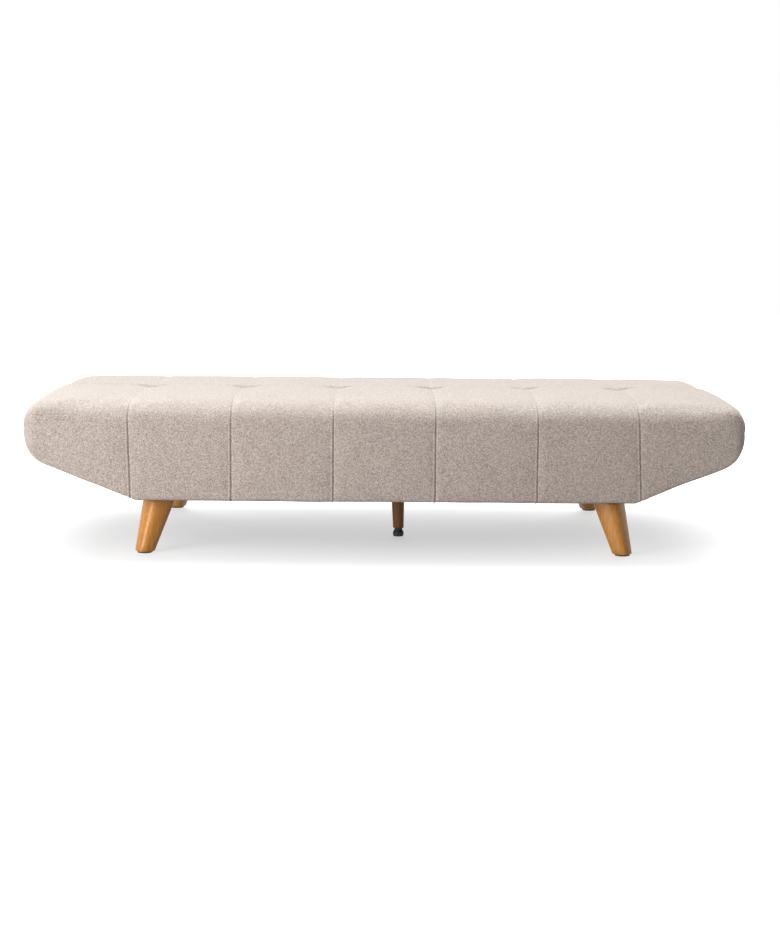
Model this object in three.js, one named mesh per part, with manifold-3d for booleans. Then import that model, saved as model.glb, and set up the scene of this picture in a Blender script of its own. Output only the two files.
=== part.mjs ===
// Click clack sofa bed, folded flat into a bed.
// A fixed upholstered seat box stands on splayed wooden legs. Two side beams run back from under it
// and carry the rear legs, and the back section lies on them. It turns up on two ratchet hinges.
// Units are millimetres. +Z is up, X runs along the sofa, -Y is the front, and the origin is on the
// floor under the middle of the bed. "Left" is -X, as seen from the front.

import * as THREE from "three";
import { mergeVertices } from "three/addons/utils/BufferGeometryUtils.js";
import Module from "manifold-3d";

const wasm = await Module();
wasm.setup();

// Whole sofa
const channelCount = 7;
const channelWidth = 280;
const endBulge = 10;
const seatDepth = 596;
const sectionGap = 8;
const backDepth = 456;
const bedHeight = 425;
const groundClearance = 154;
const backThicknessShare = 0.7786;
const undercutRun = 306;
const undercutRiseShare = 0.4448;
const fitGap = 0.3;
const cutOverrun = 5;

// Cushion covers: a quilted skin of cloth and wadding, sewn into channels that run front to back
const coverWall = 18;
const coverHem = 8;
const endTopShare = 0.16;
const endLowShare = 0.369;
const endCornerShare = 0.1107;
const fullestShare = 0.96;
const faceCornerRadius = 34;
const lowerEdgeShare = 0.0517;
const seatFrontRun = 80;
const seatFrontRiseShare = 0.1771;
const splitEdgeShare = 0.1845;
const backRearRun = 90;
const backRearRiseShare = 0.1919;
const crownDrop = 4;
const seamDepth = 9;
const seamSpread = 66;
const seamSharpness = 1.8;
const frontSeamShare = 0.3;
const topSeamShare = 0.2;
const splitSeamShare = 1.35;
const rearSeamShare = 0.3;
const seamOffsetShares = [-1, -0.32, 0, 0.32, 1];
const endStationShares = [0, 0.06, 0.22, 0.46, 0.75, 1];
const frontChamferRun = 70;
const splitChamferRun = 40;
const rearChamferRun = 80;
const innerChamferShare = 0.1476;

// Foam pads, springs and webbing
const foamShare = 0.1771;
const springRoom = 7;
const springSpacing = 190;
const springWire = 4;
const springAmplitude = 22;
const springPitch = 60;
const springTieWidth = 3;
const springTieShares = [0.34, 0.66];
const webWidth = 60;
const webThickness = 3;
const webSpacing = 190;
const webCrossShares = [0.34, 0.66];

// Timber frame
const boardThickness = 20;
const boardSetIn = 9;
const undercutBoard = 9;
const frameLift = 5;
const beamSetIn = 58;
const beamWidth = 40;
const beamDrop = 32;
const beamRestRoom = 8;
const beamEndLength = 41;
const centreBeamWidth = 36;
const rearRailWidth = 28;
const beamNotchClearance = 1.5;
const backRailWidth = 28;
const backRailDrop = 17;

// Underside cloths
const clothThickness = 1.5;
const clothLift = 1;
const clothCutClearance = 1;

// Legs
const legTopRadius = 42;
const legFootRadius = 25;
const legFrontSetIn = 106;
const legRearSetIn = 209;
const legSplayX = 39;
const legSplayY = 41;
const legTwist = THREE.MathUtils.degToRad(31);
const legSquareness = 2.9;
const legPoints = 20;
const legEdge = 2;
const glideThickness = 4;
const glideRadius = 21;
const legPlateSize = 80;
const legBoltRadius = 4;
const legBoltUpShare = 0.654;
const legBoltDown = 42;
const boreClearance = 0.5;
const centreLegX = 40.5;
const centreLegSetIn = 365;
const centreLegLean = 3;
const centreLegTopRadius = 20.5;
const centreLegFootRadius = 15.5;
const centreLegLift = 24;

// Levelling foot under the centre leg
const levellerRadius = 15;
const levellerBulge = 16;
const levellerBulgeHeight = 10;
const levellerNeckRadius = 11.5;
const levellerNeckHeight = 4;
const levellerStudRadius = 4;
const levellerStudLength = 34;

// Rubber rests on the beams under the back section
const bumperRadius = 12;
const bumperSetIn = 280;

// Ratchet hinges
const pivotDrop = 34;
const armThickness = 4;
const armGap = 0.6;
const armHalfWidth = 20;
const bossRadius = 22;
const ratchetRadius = 24;
const pivotShankRadius = 6;
const pivotHeadRadius = 10;
const pivotHeadThickness = 3;
const seatArmElbow = [-100, -101];
const seatArmEnd = [-152, -101];
const backArmElbow = [84, -95];
const backArmEnd = [140, -95];
const pocketClearance = 3;
const discClearance = 1.5;
const studRadius = 4;
const studPlateThickness = 3;
const studPlateMargin = 16;
const studNutRadius = 7.5;
const studNutThickness = 5;
const studEnd = 4;
const nutSides = 6;
const pawlPivotReach = 45;
const pawlPivotAngle = THREE.MathUtils.degToRad(190);
const pawlNoseAngle = THREE.MathUtils.degToRad(240);
const pawlNoseRadius = 4;
const pawlRideGap = 0.6;
const pawlToothLength = 6;
const pawlBodyRadius = 5;
const pawlEyeRadius = 7.5;
const pawlStudRadius = 3;
const pawlEarRadius = 9;
const notchDepth = 3.5;
const notchClearance = 0.7;
const notchAngles = [0, 36, 70, 73, 76].map(THREE.MathUtils.degToRad);
const pawlSpringWire = 1.2;
const pawlSpringRadius = 4.2;
const pawlSpringPitch = 1.7;
const pawlSpringTurns = 2.25;
const pawlSpringLeg = 9;

// Facets: how finely round things are cut
const arcSteps = 5;
const cornerSteps = 2;
const roundSteps = 24;
const smallRoundSteps = 16;
const boltSteps = 12;
const plateArcSteps = 8;
const coilSteps = 8;
const coilSides = 5;

// Sizes worked out from the ones above
const halfLength = (channelCount * channelWidth) / 2 + endBulge;
const undercutStart = halfLength - undercutRun;
const bedDepth = seatDepth + sectionGap + backDepth;
const frontY = -bedDepth / 2;
const rearY = bedDepth / 2;
const seatRearY = frontY + seatDepth;
const backFrontY = seatRearY + sectionGap;
const seatHeight = bedHeight - groundClearance;
const backThickness = seatHeight * backThicknessShare;
const backBottom = bedHeight - backThickness;
const endTopRadius = seatHeight * endTopShare;
const endLowRadius = seatHeight * endLowShare;
const endCornerCut = seatHeight * endCornerShare;
const lowerEdgeRadius = seatHeight * lowerEdgeShare;
const seatFrontRise = seatHeight * seatFrontRiseShare;
const splitEdgeRadius = seatHeight * splitEdgeShare;
const backRearRise = seatHeight * backRearRiseShare;
const innerChamferRise = seatHeight * innerChamferShare;
const foamThickness = seatHeight * foamShare;
const slope = (seatHeight * undercutRiseShare) / undercutRun;
const undercutAngle = Math.atan(slope);
const innerRise = coverWall / Math.cos(undercutAngle);
const frameBottom = groundClearance + frameLift;
const backFrameBottom = backBottom + frameLift;
const boardTop = bedHeight - coverWall - foamThickness - springRoom;
const frameHalfLength = halfLength - coverWall - boardSetIn;
const beamX = undercutStart - beamSetIn;
const legFrontTopY = frontY + legFrontSetIn;
const legRearTopY = rearY - legRearSetIn;
const beamRearY = legRearTopY + beamEndLength;
const beamInnerX = beamX - beamWidth / 2;
const beamOuterX = beamX + beamWidth / 2;
const beamTailTop = backBottom - beamRestRoom;
const legBoltUp = (beamTailTop - groundClearance) * legBoltUpShare;
const pivotY = seatRearY + sectionGap / 2;
const pivotZ = bedHeight - pivotDrop;
const seatArmX = beamOuterX + fitGap;
const backArmX = seatArmX + armThickness + armGap;
const hingeOuterX = backArmX + armThickness;
const pocketInnerX = seatArmX - pivotHeadThickness - 2 * fitGap - discClearance;
const pocketOuterX = hingeOuterX + pivotHeadThickness + fitGap + pocketClearance;

// Materials, by colour
const cloth = new THREE.MeshStandardMaterial({ color: 0xc9bcae, roughness: 0.95, metalness: 0 });
const foam = new THREE.MeshStandardMaterial({ color: 0xe9e0bd, roughness: 0.9, metalness: 0 });
const timber = new THREE.MeshStandardMaterial({ color: 0xcfae7c, roughness: 0.8, metalness: 0 });
const legWood = new THREE.MeshStandardMaterial({ color: 0xb9793a, roughness: 0.4, metalness: 0 });
const steel = new THREE.MeshStandardMaterial({ color: 0x8d9094, roughness: 0.45, metalness: 0.9 });
const blackSteel = new THREE.MeshStandardMaterial({ color: 0x26241f, roughness: 0.5, metalness: 0.6 });
const blackCloth = new THREE.MeshStandardMaterial({ color: 0x1f1f20, roughness: 0.95, metalness: 0 });
const webbing = new THREE.MeshStandardMaterial({ color: 0xb7a98f, roughness: 0.9, metalness: 0 });
const rubber = new THREE.MeshStandardMaterial({ color: 0x2b2b2b, roughness: 0.8, metalness: 0 });
const nylon = new THREE.MeshStandardMaterial({ color: 0x5a4a36, roughness: 0.6, metalness: 0 });

const sofa = new THREE.Group();

// Adds one named piece to the sofa.
function place(name, geometry, material) {
  const mesh = new THREE.Mesh(geometry, material);
  mesh.name = name;
  sofa.add(mesh);
}

// Volume enclosed by an indexed geometry, negative where its faces point inwards.
function signedVolume(geometry) {
  const p = geometry.attributes.position;
  const index = geometry.index.array;
  const [a, b, c] = [new THREE.Vector3(), new THREE.Vector3(), new THREE.Vector3()];
  let volume = 0;
  for (let i = 0; i < index.length; i += 3) {
    a.fromBufferAttribute(p, index[i]);
    b.fromBufferAttribute(p, index[i + 1]);
    c.fromBufferAttribute(p, index[i + 2]);
    volume += a.dot(b.cross(c)) / 6;
  }
  return volume;
}

// Closed skin through rings of points, with a fan of triangles over each end ring.
function loft(rings) {
  const count = rings[0].length;
  const points = rings.flat();
  const middles = [rings[0], rings[rings.length - 1]].map((ring) =>
    ring.reduce((sum, p) => sum.add(p), new THREE.Vector3()).divideScalar(count),
  );
  const first = points.length;
  const last = first + 1;
  const index = [];
  for (let r = 0; r + 1 < rings.length; r++)
    for (let i = 0; i < count; i++) {
      const j = (i + 1) % count;
      const [a, b] = [r * count + i, r * count + j];
      const [c, d] = [a + count, b + count];
      index.push(a, b, d, a, d, c);
    }
  const top = (rings.length - 1) * count;
  for (let i = 0; i < count; i++) {
    const j = (i + 1) % count;
    index.push(first, j, i, last, top + i, top + j);
  }
  const geometry = new THREE.BufferGeometry().setFromPoints([...points, ...middles]);
  geometry.setIndex(index);
  if (signedVolume(geometry) < 0) geometry.setIndex(index.reverse());
  return geometry;
}

// Geometry to solid, for cutting and joining.
function solid(geometry) {
  const bare = geometry.clone();
  for (const name of Object.keys(bare.attributes)) if (name !== "position") bare.deleteAttribute(name);
  const merged = mergeVertices(bare);
  return new wasm.Manifold(
    new wasm.Mesh({
      numProp: 3,
      vertProperties: new Float32Array(merged.attributes.position.array),
      triVerts: new Uint32Array(merged.index.array),
    }),
  );
}

// Solid back to geometry.
function geometryOf(made) {
  const mesh = made.getMesh();
  const geometry = new THREE.BufferGeometry();
  geometry.setAttribute("position", new THREE.BufferAttribute(mesh.vertProperties, 3));
  geometry.setIndex(new THREE.BufferAttribute(mesh.triVerts, 1));
  return geometry;
}

const cut = (whole, ...tools) =>
  geometryOf(tools.reduce((left, tool) => left.subtract(solid(tool)), solid(whole)));
const join = (...pieces) => geometryOf(pieces.map(solid).reduce((sum, piece) => sum.add(piece)));
const common = (a, b) => geometryOf(solid(a).intersect(solid(b)));

// Box between two corners, given in any order.
function block([x0, x1], [y0, y1], [z0, z1]) {
  const size = [x1 - x0, y1 - y0, z1 - z0].map(Math.abs);
  return new THREE.BoxGeometry(...size).translate((x0 + x1) / 2, (y0 + y1) / 2, (z0 + z1) / 2);
}

// Extrusion along Y of an outline of [x, z] points.
function prismY(outline, y0, y1) {
  const shape = new THREE.Shape(outline.map(([x, z]) => new THREE.Vector2(x, z)));
  const made = new THREE.ExtrudeGeometry(shape, { depth: y1 - y0, bevelEnabled: false });
  return made.rotateX(Math.PI / 2).translate(0, y1, 0);
}

// Extrusion along X of an outline of [y, z] points, between two X values in any order.
function prismX(outline, xa, xb) {
  const shape = new THREE.Shape(outline.map(([y, z]) => new THREE.Vector2(y, z)));
  const made = new THREE.ExtrudeGeometry(shape, { depth: Math.abs(xb - xa), bevelEnabled: false });
  const turn = new THREE.Matrix4().makeBasis(
    new THREE.Vector3(0, 1, 0),
    new THREE.Vector3(0, 0, 1),
    new THREE.Vector3(1, 0, 0),
  );
  return made.applyMatrix4(turn).translate(Math.min(xa, xb), 0, 0);
}

// Round bar along X, between two X values in any order.
function barX([y, z], radius, xa, xb, steps) {
  const bar = new THREE.CylinderGeometry(radius, radius, Math.abs(xb - xa), steps);
  return bar.rotateZ(Math.PI / 2).translate((xa + xb) / 2, y, z);
}

// Upright round bar at x and y, between two heights.
function puck(x, y, radius, [z0, z1], steps) {
  const bar = new THREE.CylinderGeometry(radius, radius, z1 - z0, steps);
  return bar.rotateX(Math.PI / 2).translate(x, y, (z0 + z1) / 2);
}

// Round bar between two points.
function barBetween(from, to, radius, steps) {
  const along = to.clone().sub(from);
  const bar = new THREE.CylinderGeometry(radius, radius, along.length(), steps);
  const turn = new THREE.Quaternion().setFromUnitVectors(new THREE.Vector3(0, 1, 0), along.normalize());
  return bar.applyQuaternion(turn).translate(...from.clone().add(to).divideScalar(2).toArray());
}

// Flat link with round ends between two [y, z] points, as thick as the two X values say.
function link([ya, za], [yb, zb], radius, x0, x1) {
  const heading = Math.atan2(zb - za, yb - ya);
  const outline = [];
  for (const [y, z, start] of [
    [ya, za, heading + Math.PI / 2],
    [yb, zb, heading - Math.PI / 2],
  ])
    for (let i = 0; i <= plateArcSteps; i++) {
      const angle = start + (Math.PI * i) / plateArcSteps;
      outline.push([y + radius * Math.cos(angle), z + radius * Math.sin(angle)]);
    }
  return prismX(outline, x0, x1);
}

// Tube of round wire along a list of points, with its corners mitred.
function wire(points, radius, sides) {
  const up = new THREE.Vector3();
  const rings = points.map((point, i) => {
    const before = points[Math.max(i - 1, 0)];
    const after = points[Math.min(i + 1, points.length - 1)];
    const tangent = after.clone().sub(before).normalize();
    if (i === 0) up.set(1, 0, 0).cross(tangent).normalize();
    up.sub(tangent.clone().multiplyScalar(up.dot(tangent))).normalize();
    const side = tangent.clone().cross(up);
    return Array.from({ length: sides }, (_, k) => {
      const angle = (2 * Math.PI * (k + 1 / 2)) / sides;
      return point
        .clone()
        .add(up.clone().multiplyScalar(radius * Math.sin(angle)))
        .add(side.clone().multiplyScalar(radius * Math.cos(angle)));
    });
  });
  return loft(rings);
}

// How far a rounded corner has turned in at a distance from the end.
function turnedIn(fromEnd, radius) {
  const left = Math.max(radius - fromEnd, 0);
  return radius - Math.sqrt(radius * radius - left * left);
}

// Height of the underside at x: flat, then rising along the undercut, then round into the end face.
function undersideZ(x, flat) {
  const lowest = groundClearance + (halfLength - undercutStart) * slope;
  const tangentLength = endLowRadius * Math.tan((Math.PI / 2 - undercutAngle) / 2);
  const centreX = halfLength - endLowRadius;
  const roundFrom = halfLength - tangentLength * Math.cos(undercutAngle);
  const across = Math.abs(x);
  if (across > roundFrom) {
    const run = Math.min(across - centreX, endLowRadius);
    return lowest + tangentLength - Math.sqrt(endLowRadius ** 2 - run ** 2);
  }
  return Math.max(flat, groundClearance + (across - undercutStart) * slope);
}

// Seam places along the sofa.
const seams = Array.from({ length: channelCount - 1 }, (_, i) => (i + 1 - channelCount / 2) * channelWidth);

// How much of the seam's full depth the cloth is drawn in at x.
function drawnIn(x) {
  const nearest = Math.min(...seams.map((seam) => Math.abs(x - seam)));
  return Math.max(1 - nearest / seamSpread, 0) ** seamSharpness;
}

// One quarter of an ellipse, as points that carry their outward direction.
function quarter(y, z, run, rise, start, steps) {
  return Array.from({ length: steps + 1 }, (_, i) => {
    const angle = start - ((Math.PI / 2) * i) / steps;
    const [c, s] = [Math.cos(angle), Math.sin(angle)];
    return { y: y + run * c, z: z + rise * s, outY: c, outZ: s };
  });
}

// Outline of a cushion section at x, front round to rear, each point with its share of the seam depth.
function sectionRing(section, x) {
  const fromEnd = halfLength - Math.abs(x);
  const turned = turnedIn(fromEnd, faceCornerRadius);
  const front = section.front + turned;
  const rear = section.rear - turned;
  const top = bedHeight - turnedIn(fromEnd, endTopRadius);
  const bottom = undersideZ(x, section.bottom);
  const crest = top - crownDrop;
  const fullest = Math.max(section.frontRise, section.rearRise) + lowerEdgeRadius;
  const squeeze = Math.min(((crest - bottom) * fullestShare) / fullest, 1);
  const low = lowerEdgeRadius * squeeze;
  const { frontRun, rearRun } = section;
  const [frontRise, rearRise] = [section.frontRise * squeeze, section.rearRise * squeeze];
  const sides = [
    quarter(front + low, bottom + low, low, low, -Math.PI / 2, cornerSteps).map((p) => ({ ...p, draw: 0 })),
    quarter(front + frontRun, crest - frontRise, frontRun, frontRise, Math.PI, arcSteps).map((p) => ({
      ...p,
      draw: section.frontDraw + (section.topFrontDraw - section.frontDraw) * Math.max(p.outZ, 0),
    })),
    [1, 2, 3].map((i) => {
      const share = i / 4;
      const y = front + frontRun + (rear - rearRun - front - frontRun) * share;
      return { y, z: crest + crownDrop * 4 * share * (1 - share), outY: 0, outZ: 1, draw: topSeamShare };
    }),
    quarter(rear - rearRun, crest - rearRise, rearRun, rearRise, Math.PI / 2, arcSteps).map((p) => ({
      ...p,
      draw: section.rearDraw + (section.topRearDraw - section.rearDraw) * Math.max(p.outZ, 0),
    })),
    quarter(rear - low, bottom + low, low, low, 0, cornerSteps).map((p) => ({ ...p, draw: 0 })),
  ];
  const depth = seamDepth * drawnIn(x);
  return sides
    .flat()
    .map((p) => new THREE.Vector3(x, p.y - p.outY * depth * p.draw, p.z - p.outZ * depth * p.draw));
}

// X places where a cushion's outline is taken.
function stations(section) {
  const places = seams.flatMap((seam) => seamOffsetShares.map((share) => seam + share * seamSpread));
  const flatEnd = undercutStart + (section.bottom - groundClearance) / slope;
  for (const side of [-1, 1]) {
    places.push(side * flatEnd);
    for (const share of endStationShares) places.push(side * (halfLength - share * endLowRadius));
  }
  places.sort((a, b) => a - b);
  return places.filter((x, i) => i === 0 || x - places[i - 1] > fitGap);
}

// Height at which timber clears the cover's undercut.
const riseAt = (x) => groundClearance + innerRise + fitGap + (x - undercutStart) * slope;

// Outline in X and Z of what fits inside a cover, open downwards through the hem.
function innerOutline(section, hemX, openZ) {
  const inX = halfLength - coverWall;
  const coverRiseAt = (x) => riseAt(x) - fitGap;
  const right = [
    [hemX, openZ],
    [hemX, Math.max(coverRiseAt(hemX), section.bottom + coverHem)],
    [inX - endCornerCut, coverRiseAt(inX - endCornerCut)],
    [inX, coverRiseAt(inX) + endCornerCut],
    [inX, bedHeight - coverWall],
  ];
  return [...right, ...right.map(([x, z]) => [-x, z]).reverse()];
}

// Outline in Y and Z of what fits inside a cover, its upper corners cut off under the round edges.
function sideOutline(section, gap, low, high) {
  const [y0, y1] = [section.front + coverWall + gap, section.rear - coverWall - gap];
  return [
    [y0, low],
    [y1, low],
    [y1, high - innerChamferRise],
    [y1 - section.rearChamfer, high],
    [y0 + section.frontChamfer, high],
    [y0, high - innerChamferRise],
  ];
}

// Half width of a cover's open underside.
function hemHalfWidth(section) {
  return undercutStart + (section.bottom - groundClearance) / slope - coverHem;
}

// Quilted cover: the outer form less the room inside it.
function coverGeometry(section, ...tools) {
  const outer = loft(stations(section).map((x) => sectionRing(section, x)));
  const low = section.bottom - cutOverrun;
  const inner = innerOutline(section, hemHalfWidth(section), low);
  const room = common(
    prismY(inner, section.front, section.rear),
    prismX(sideOutline(section, 0, low, bedHeight - coverWall), -halfLength, halfLength),
  );
  return cut(outer, room, ...tools);
}

// Foam pad under a cover's top.
function foamGeometry(section, ...tools) {
  const high = bedHeight - coverWall - fitGap;
  const inX = halfLength - coverWall - fitGap;
  return cut(prismX(sideOutline(section, fitGap, high - foamThickness, high), -inX, inX), ...tools);
}

// Long frame board, cut to the sofa's boat shape.
function boatBoard(section, y0, ...tools) {
  const bottom = section.bottom + frameLift;
  const startX = hemHalfWidth(section) - fitGap;
  const right = [
    [startX, bottom],
    [startX, Math.max(riseAt(startX), bottom + fitGap)],
    [frameHalfLength - endCornerCut, riseAt(frameHalfLength - endCornerCut)],
    [frameHalfLength, riseAt(frameHalfLength) + endCornerCut],
    [frameHalfLength, boardTop],
  ];
  const outline = [...right, ...right.map(([x, z]) => [-x, z]).reverse()];
  return cut(prismY(outline, y0, y0 + boardThickness), ...tools);
}

// The two cushion sections
const seat = {
  front: frontY,
  rear: seatRearY,
  bottom: groundClearance,
  frontRun: seatFrontRun,
  frontRise: seatFrontRise,
  rearRun: splitEdgeRadius,
  rearRise: splitEdgeRadius,
  frontDraw: frontSeamShare,
  topFrontDraw: topSeamShare,
  topRearDraw: splitSeamShare,
  rearDraw: splitSeamShare,
  frontChamfer: frontChamferRun,
  rearChamfer: splitChamferRun,
};
const back = {
  front: backFrontY,
  rear: rearY,
  bottom: backBottom,
  frontRun: splitEdgeRadius,
  frontRise: splitEdgeRadius,
  rearRun: backRearRun,
  rearRise: backRearRise,
  frontDraw: splitSeamShare,
  topFrontDraw: splitSeamShare,
  topRearDraw: topSeamShare,
  rearDraw: rearSeamShare,
  frontChamfer: splitChamferRun,
  rearChamfer: rearChamferRun,
};

// Hinge places in Y and Z, measured from the pivot
const pivot = [pivotY, pivotZ];
const fromPivot = ([y, z]) => [pivotY + y, pivotZ + z];
const atPolar = (reach, angle) => fromPivot([reach * Math.cos(angle), reach * Math.sin(angle)]);
const pawlPivot = atPolar(pawlPivotReach, pawlPivotAngle);
const pawlNoseReach = ratchetRadius + pawlRideGap + pawlNoseRadius;
const pawlNose = atPolar(pawlNoseReach, pawlNoseAngle);
const pawlShoulder = atPolar(pawlNoseReach + pawlToothLength, pawlNoseAngle);
const seatStuds = [fromPivot(seatArmElbow), fromPivot(seatArmEnd)];
const backStuds = [fromPivot(backArmElbow), fromPivot(backArmEnd)];

// Room that a hinge needs in a cushion section and its boards, round its disc and along its arm.
function hingePocket(side, elbow) {
  const [x0, x1] = [side * pocketInnerX, side * pocketOuterX];
  return join(
    link(pivot, fromPivot(elbow), armHalfWidth + pocketClearance, x0, x1),
    barX(pivot, ratchetRadius + discClearance, x0, x1, roundSteps),
  );
}

// Room that a pawl and its spring need in the seat.
function pawlPocket(side) {
  const reach = pawlEarRadius + 2 * pocketClearance;
  return link(pivot, pawlPivot, reach, side * pocketInnerX, side * pocketOuterX);
}

const seatPockets = [-1, 1].map((side) => join(hingePocket(side, seatArmElbow), pawlPocket(side)));
const backPockets = [-1, 1].map((side) => hingePocket(side, backArmElbow));

// Room that the beams need through the seat's rear wall and rear board.
function beamNotch(x, width) {
  const half = width / 2 + beamNotchClearance;
  const y = [seatRearY - coverWall - boardThickness - 2 * cutOverrun, seatRearY + cutOverrun];
  return block([x - half, x + half], y, [groundClearance - cutOverrun, beamTailTop + beamNotchClearance]);
}
const beamNotches = [
  beamNotch(-beamX, beamWidth),
  beamNotch(beamX, beamWidth),
  beamNotch(centreLegX, centreBeamWidth),
];

// Frame board places
const seatFrontBoardY = frontY + coverWall + 2 * fitGap;
const seatRearBoardY = seatRearY - coverWall - boardThickness - 2 * fitGap;
const backLowerBoardY = backFrontY + coverWall + 2 * fitGap;
const backUpperBoardY = rearY - coverWall - boardThickness - 2 * fitGap;
const betweenSeatBoards = [seatFrontBoardY + boardThickness + fitGap, seatRearBoardY - fitGap];
const betweenBackBoards = [backLowerBoardY + boardThickness + fitGap, backUpperBoardY - fitGap];

// Seat section
place("seat_cover", coverGeometry(seat, ...seatPockets, ...beamNotches), cloth);
place("seat_foam_pad", foamGeometry(seat, ...seatPockets), foam);
place("seat_front_board", boatBoard(seat, seatFrontBoardY), timber);
place("seat_rear_board", boatBoard(seat, seatRearBoardY, ...seatPockets, ...beamNotches), timber);

// Rail across a section's end, between its two long boards.
function endRail(side, [y0, y1]) {
  const x = [side * (frameHalfLength - boardThickness), side * frameHalfLength];
  return block(x, [y0, y1], [riseAt(frameHalfLength) + endCornerCut, boardTop]);
}

// Sloping board that carries the cloth under a seat end.
function undercutGeometry(side) {
  const [x0, x1] = [undercutStart, frameHalfLength - endCornerCut - fitGap];
  const thick = undercutBoard / Math.cos(undercutAngle);
  const outline = [
    [x0, riseAt(x0)],
    [x1, riseAt(x1)],
    [x1, riseAt(x1) + thick],
    [x0, riseAt(x0) + thick],
  ];
  return prismY(outline.map(([x, z]) => [side * x, z]), ...betweenSeatBoards);
}

// Side beam: deep inside the seat, then a low tail that carries the back section and a rear leg.
function beamOutline(endY) {
  return [
    [betweenSeatBoards[0], frameBottom],
    [endY, frameBottom],
    [endY, beamTailTop],
    [betweenSeatBoards[1], beamTailTop],
    [betweenSeatBoards[1], boardTop - beamDrop],
    [betweenSeatBoards[0], boardTop - beamDrop],
  ];
}

// Leg places: the middle of the top and of the foot.
function legAxis(side, rear) {
  const topY = rear ? legRearTopY : legFrontTopY;
  const away = rear ? 1 : -1;
  const top = new THREE.Vector3(side * beamX, topY, groundClearance - fitGap);
  const footY = topY + away * legSplayY;
  const foot = new THREE.Vector3(side * (beamX + legSplayX), footY, glideThickness + fitGap);
  return { top, foot, away };
}

// Bolt that screws a leg to its beam, along the leg's own axis.
function legBolt({ top, foot }, radius) {
  const along = top.clone().sub(foot).normalize();
  const upper = top.clone().add(along.clone().multiplyScalar(legBoltUp + radius));
  const lower = top.clone().sub(along.multiplyScalar(legBoltDown + radius));
  return barBetween(lower, upper, radius, boltSteps);
}

// Level ring round a leg's axis. A squareness above a circle's makes it a rounded square.
const circleSquareness = 2;
function legRing({ top, foot }, share, radius, turn, squareness) {
  const centre = foot.clone().lerp(top, share);
  return Array.from({ length: legPoints }, (_, i) => {
    const angle = (2 * Math.PI * i) / legPoints;
    const [c, s] = [Math.cos(angle), Math.sin(angle)];
    const reach = radius / (Math.abs(c) ** squareness + Math.abs(s) ** squareness) ** (1 / squareness);
    const out = new THREE.Vector3(Math.cos(angle + turn), Math.sin(angle + turn), 0);
    return centre.clone().add(out.multiplyScalar(reach));
  });
}

// Tapered leg of rounded square section, turned so that one soft edge faces outwards.
function legGeometry(axis, side) {
  const turn = legTwist * side * axis.away;
  const edgeShare = legEdge / (axis.top.z - axis.foot.z);
  return loft([
    legRing(axis, 0, legFootRadius - legEdge, turn, legSquareness),
    legRing(axis, edgeShare, legFootRadius, turn, legSquareness),
    legRing(axis, 1, legTopRadius, turn, legSquareness),
  ]);
}

const legs = [
  { name: "front_left", side: -1, rear: false },
  { name: "front_right", side: 1, rear: false },
  { name: "rear_left", side: -1, rear: true },
  { name: "rear_right", side: 1, rear: true },
].map((leg) => ({ ...leg, axis: legAxis(leg.side, leg.rear) }));

// Steel plate between a leg's top and its beam.
function legPlate({ top }, size) {
  const z = [groundClearance + fitGap, frameBottom - fitGap];
  return block([top.x - size / 2, top.x + size / 2], [top.y - size / 2, top.y + size / 2], z);
}

const boltBore = legBoltRadius + boreClearance;
for (const { name, side, axis } of legs) {
  const bore = legBolt(axis, boltBore);
  place("leg_" + name, cut(legGeometry(axis, side), bore), legWood);
  place("leg_plate_" + name, cut(legPlate(axis, legPlateSize), bore), steel);
  place("leg_bolt_" + name, legBolt(axis, legBoltRadius), steel);
  const glide = puck(axis.foot.x, axis.foot.y, glideRadius, [0, glideThickness], roundSteps);
  place("leg_glide_" + name, glide, nylon);
}

// Bores along X through a piece that lies between two distances from the middle.
function bores(side, inner, outer, places, radius, steps) {
  const x = [side * (inner - cutOverrun), side * (outer + cutOverrun)];
  return places.map((spot) => barX(spot, radius, ...x, steps));
}

// Side beams, with bores for the leg bolts and the hinge studs
for (const [name, side] of [["left", -1], ["right", 1]]) {
  const boltBores = legs.filter((leg) => leg.side === side).map(({ axis }) => legBolt(axis, boltBore));
  const studs = bores(side, beamInnerX, beamOuterX, seatStuds, studRadius + boreClearance, boltSteps);
  const beam = prismX(beamOutline(beamRearY), side * beamInnerX, side * beamOuterX);
  place("side_beam_" + name, cut(beam, ...boltBores, ...studs), timber);
  place("seat_end_rail_" + name, endRail(side, betweenSeatBoards), timber);
  place("seat_undercut_board_" + name, undercutGeometry(side), timber);
}

// Centre beam and the rail that ties the beams' tails together
const rearRailY = [beamRearY - rearRailWidth, beamRearY];
const tieHalf = beamInnerX - fitGap;
place("rear_cross_rail", block([-tieHalf, tieHalf], rearRailY, [frameBottom, beamTailTop]), timber);
const centreLegY = frontY + centreLegSetIn;
const centreAxis = {
  top: new THREE.Vector3(centreLegX, centreLegY, frameBottom - fitGap),
  foot: new THREE.Vector3(centreLegX + centreLegLean, centreLegY, centreLegLift),
};
const centreBeam = prismX(
  beamOutline(rearRailY[0] - fitGap),
  centreLegX - centreBeamWidth / 2,
  centreLegX + centreBeamWidth / 2,
);
place("centre_beam", cut(centreBeam, legBolt(centreAxis, boltBore)), timber);

// Turned solid about a vertical line, from [radius, z] points that start and end on the axis.
function turned(outline, x, y, steps) {
  const profile = outline.map(([r, z]) => new THREE.Vector2(r, z));
  return new THREE.LatheGeometry(profile, steps).rotateX(Math.PI / 2).translate(x, y, 0);
}

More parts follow.
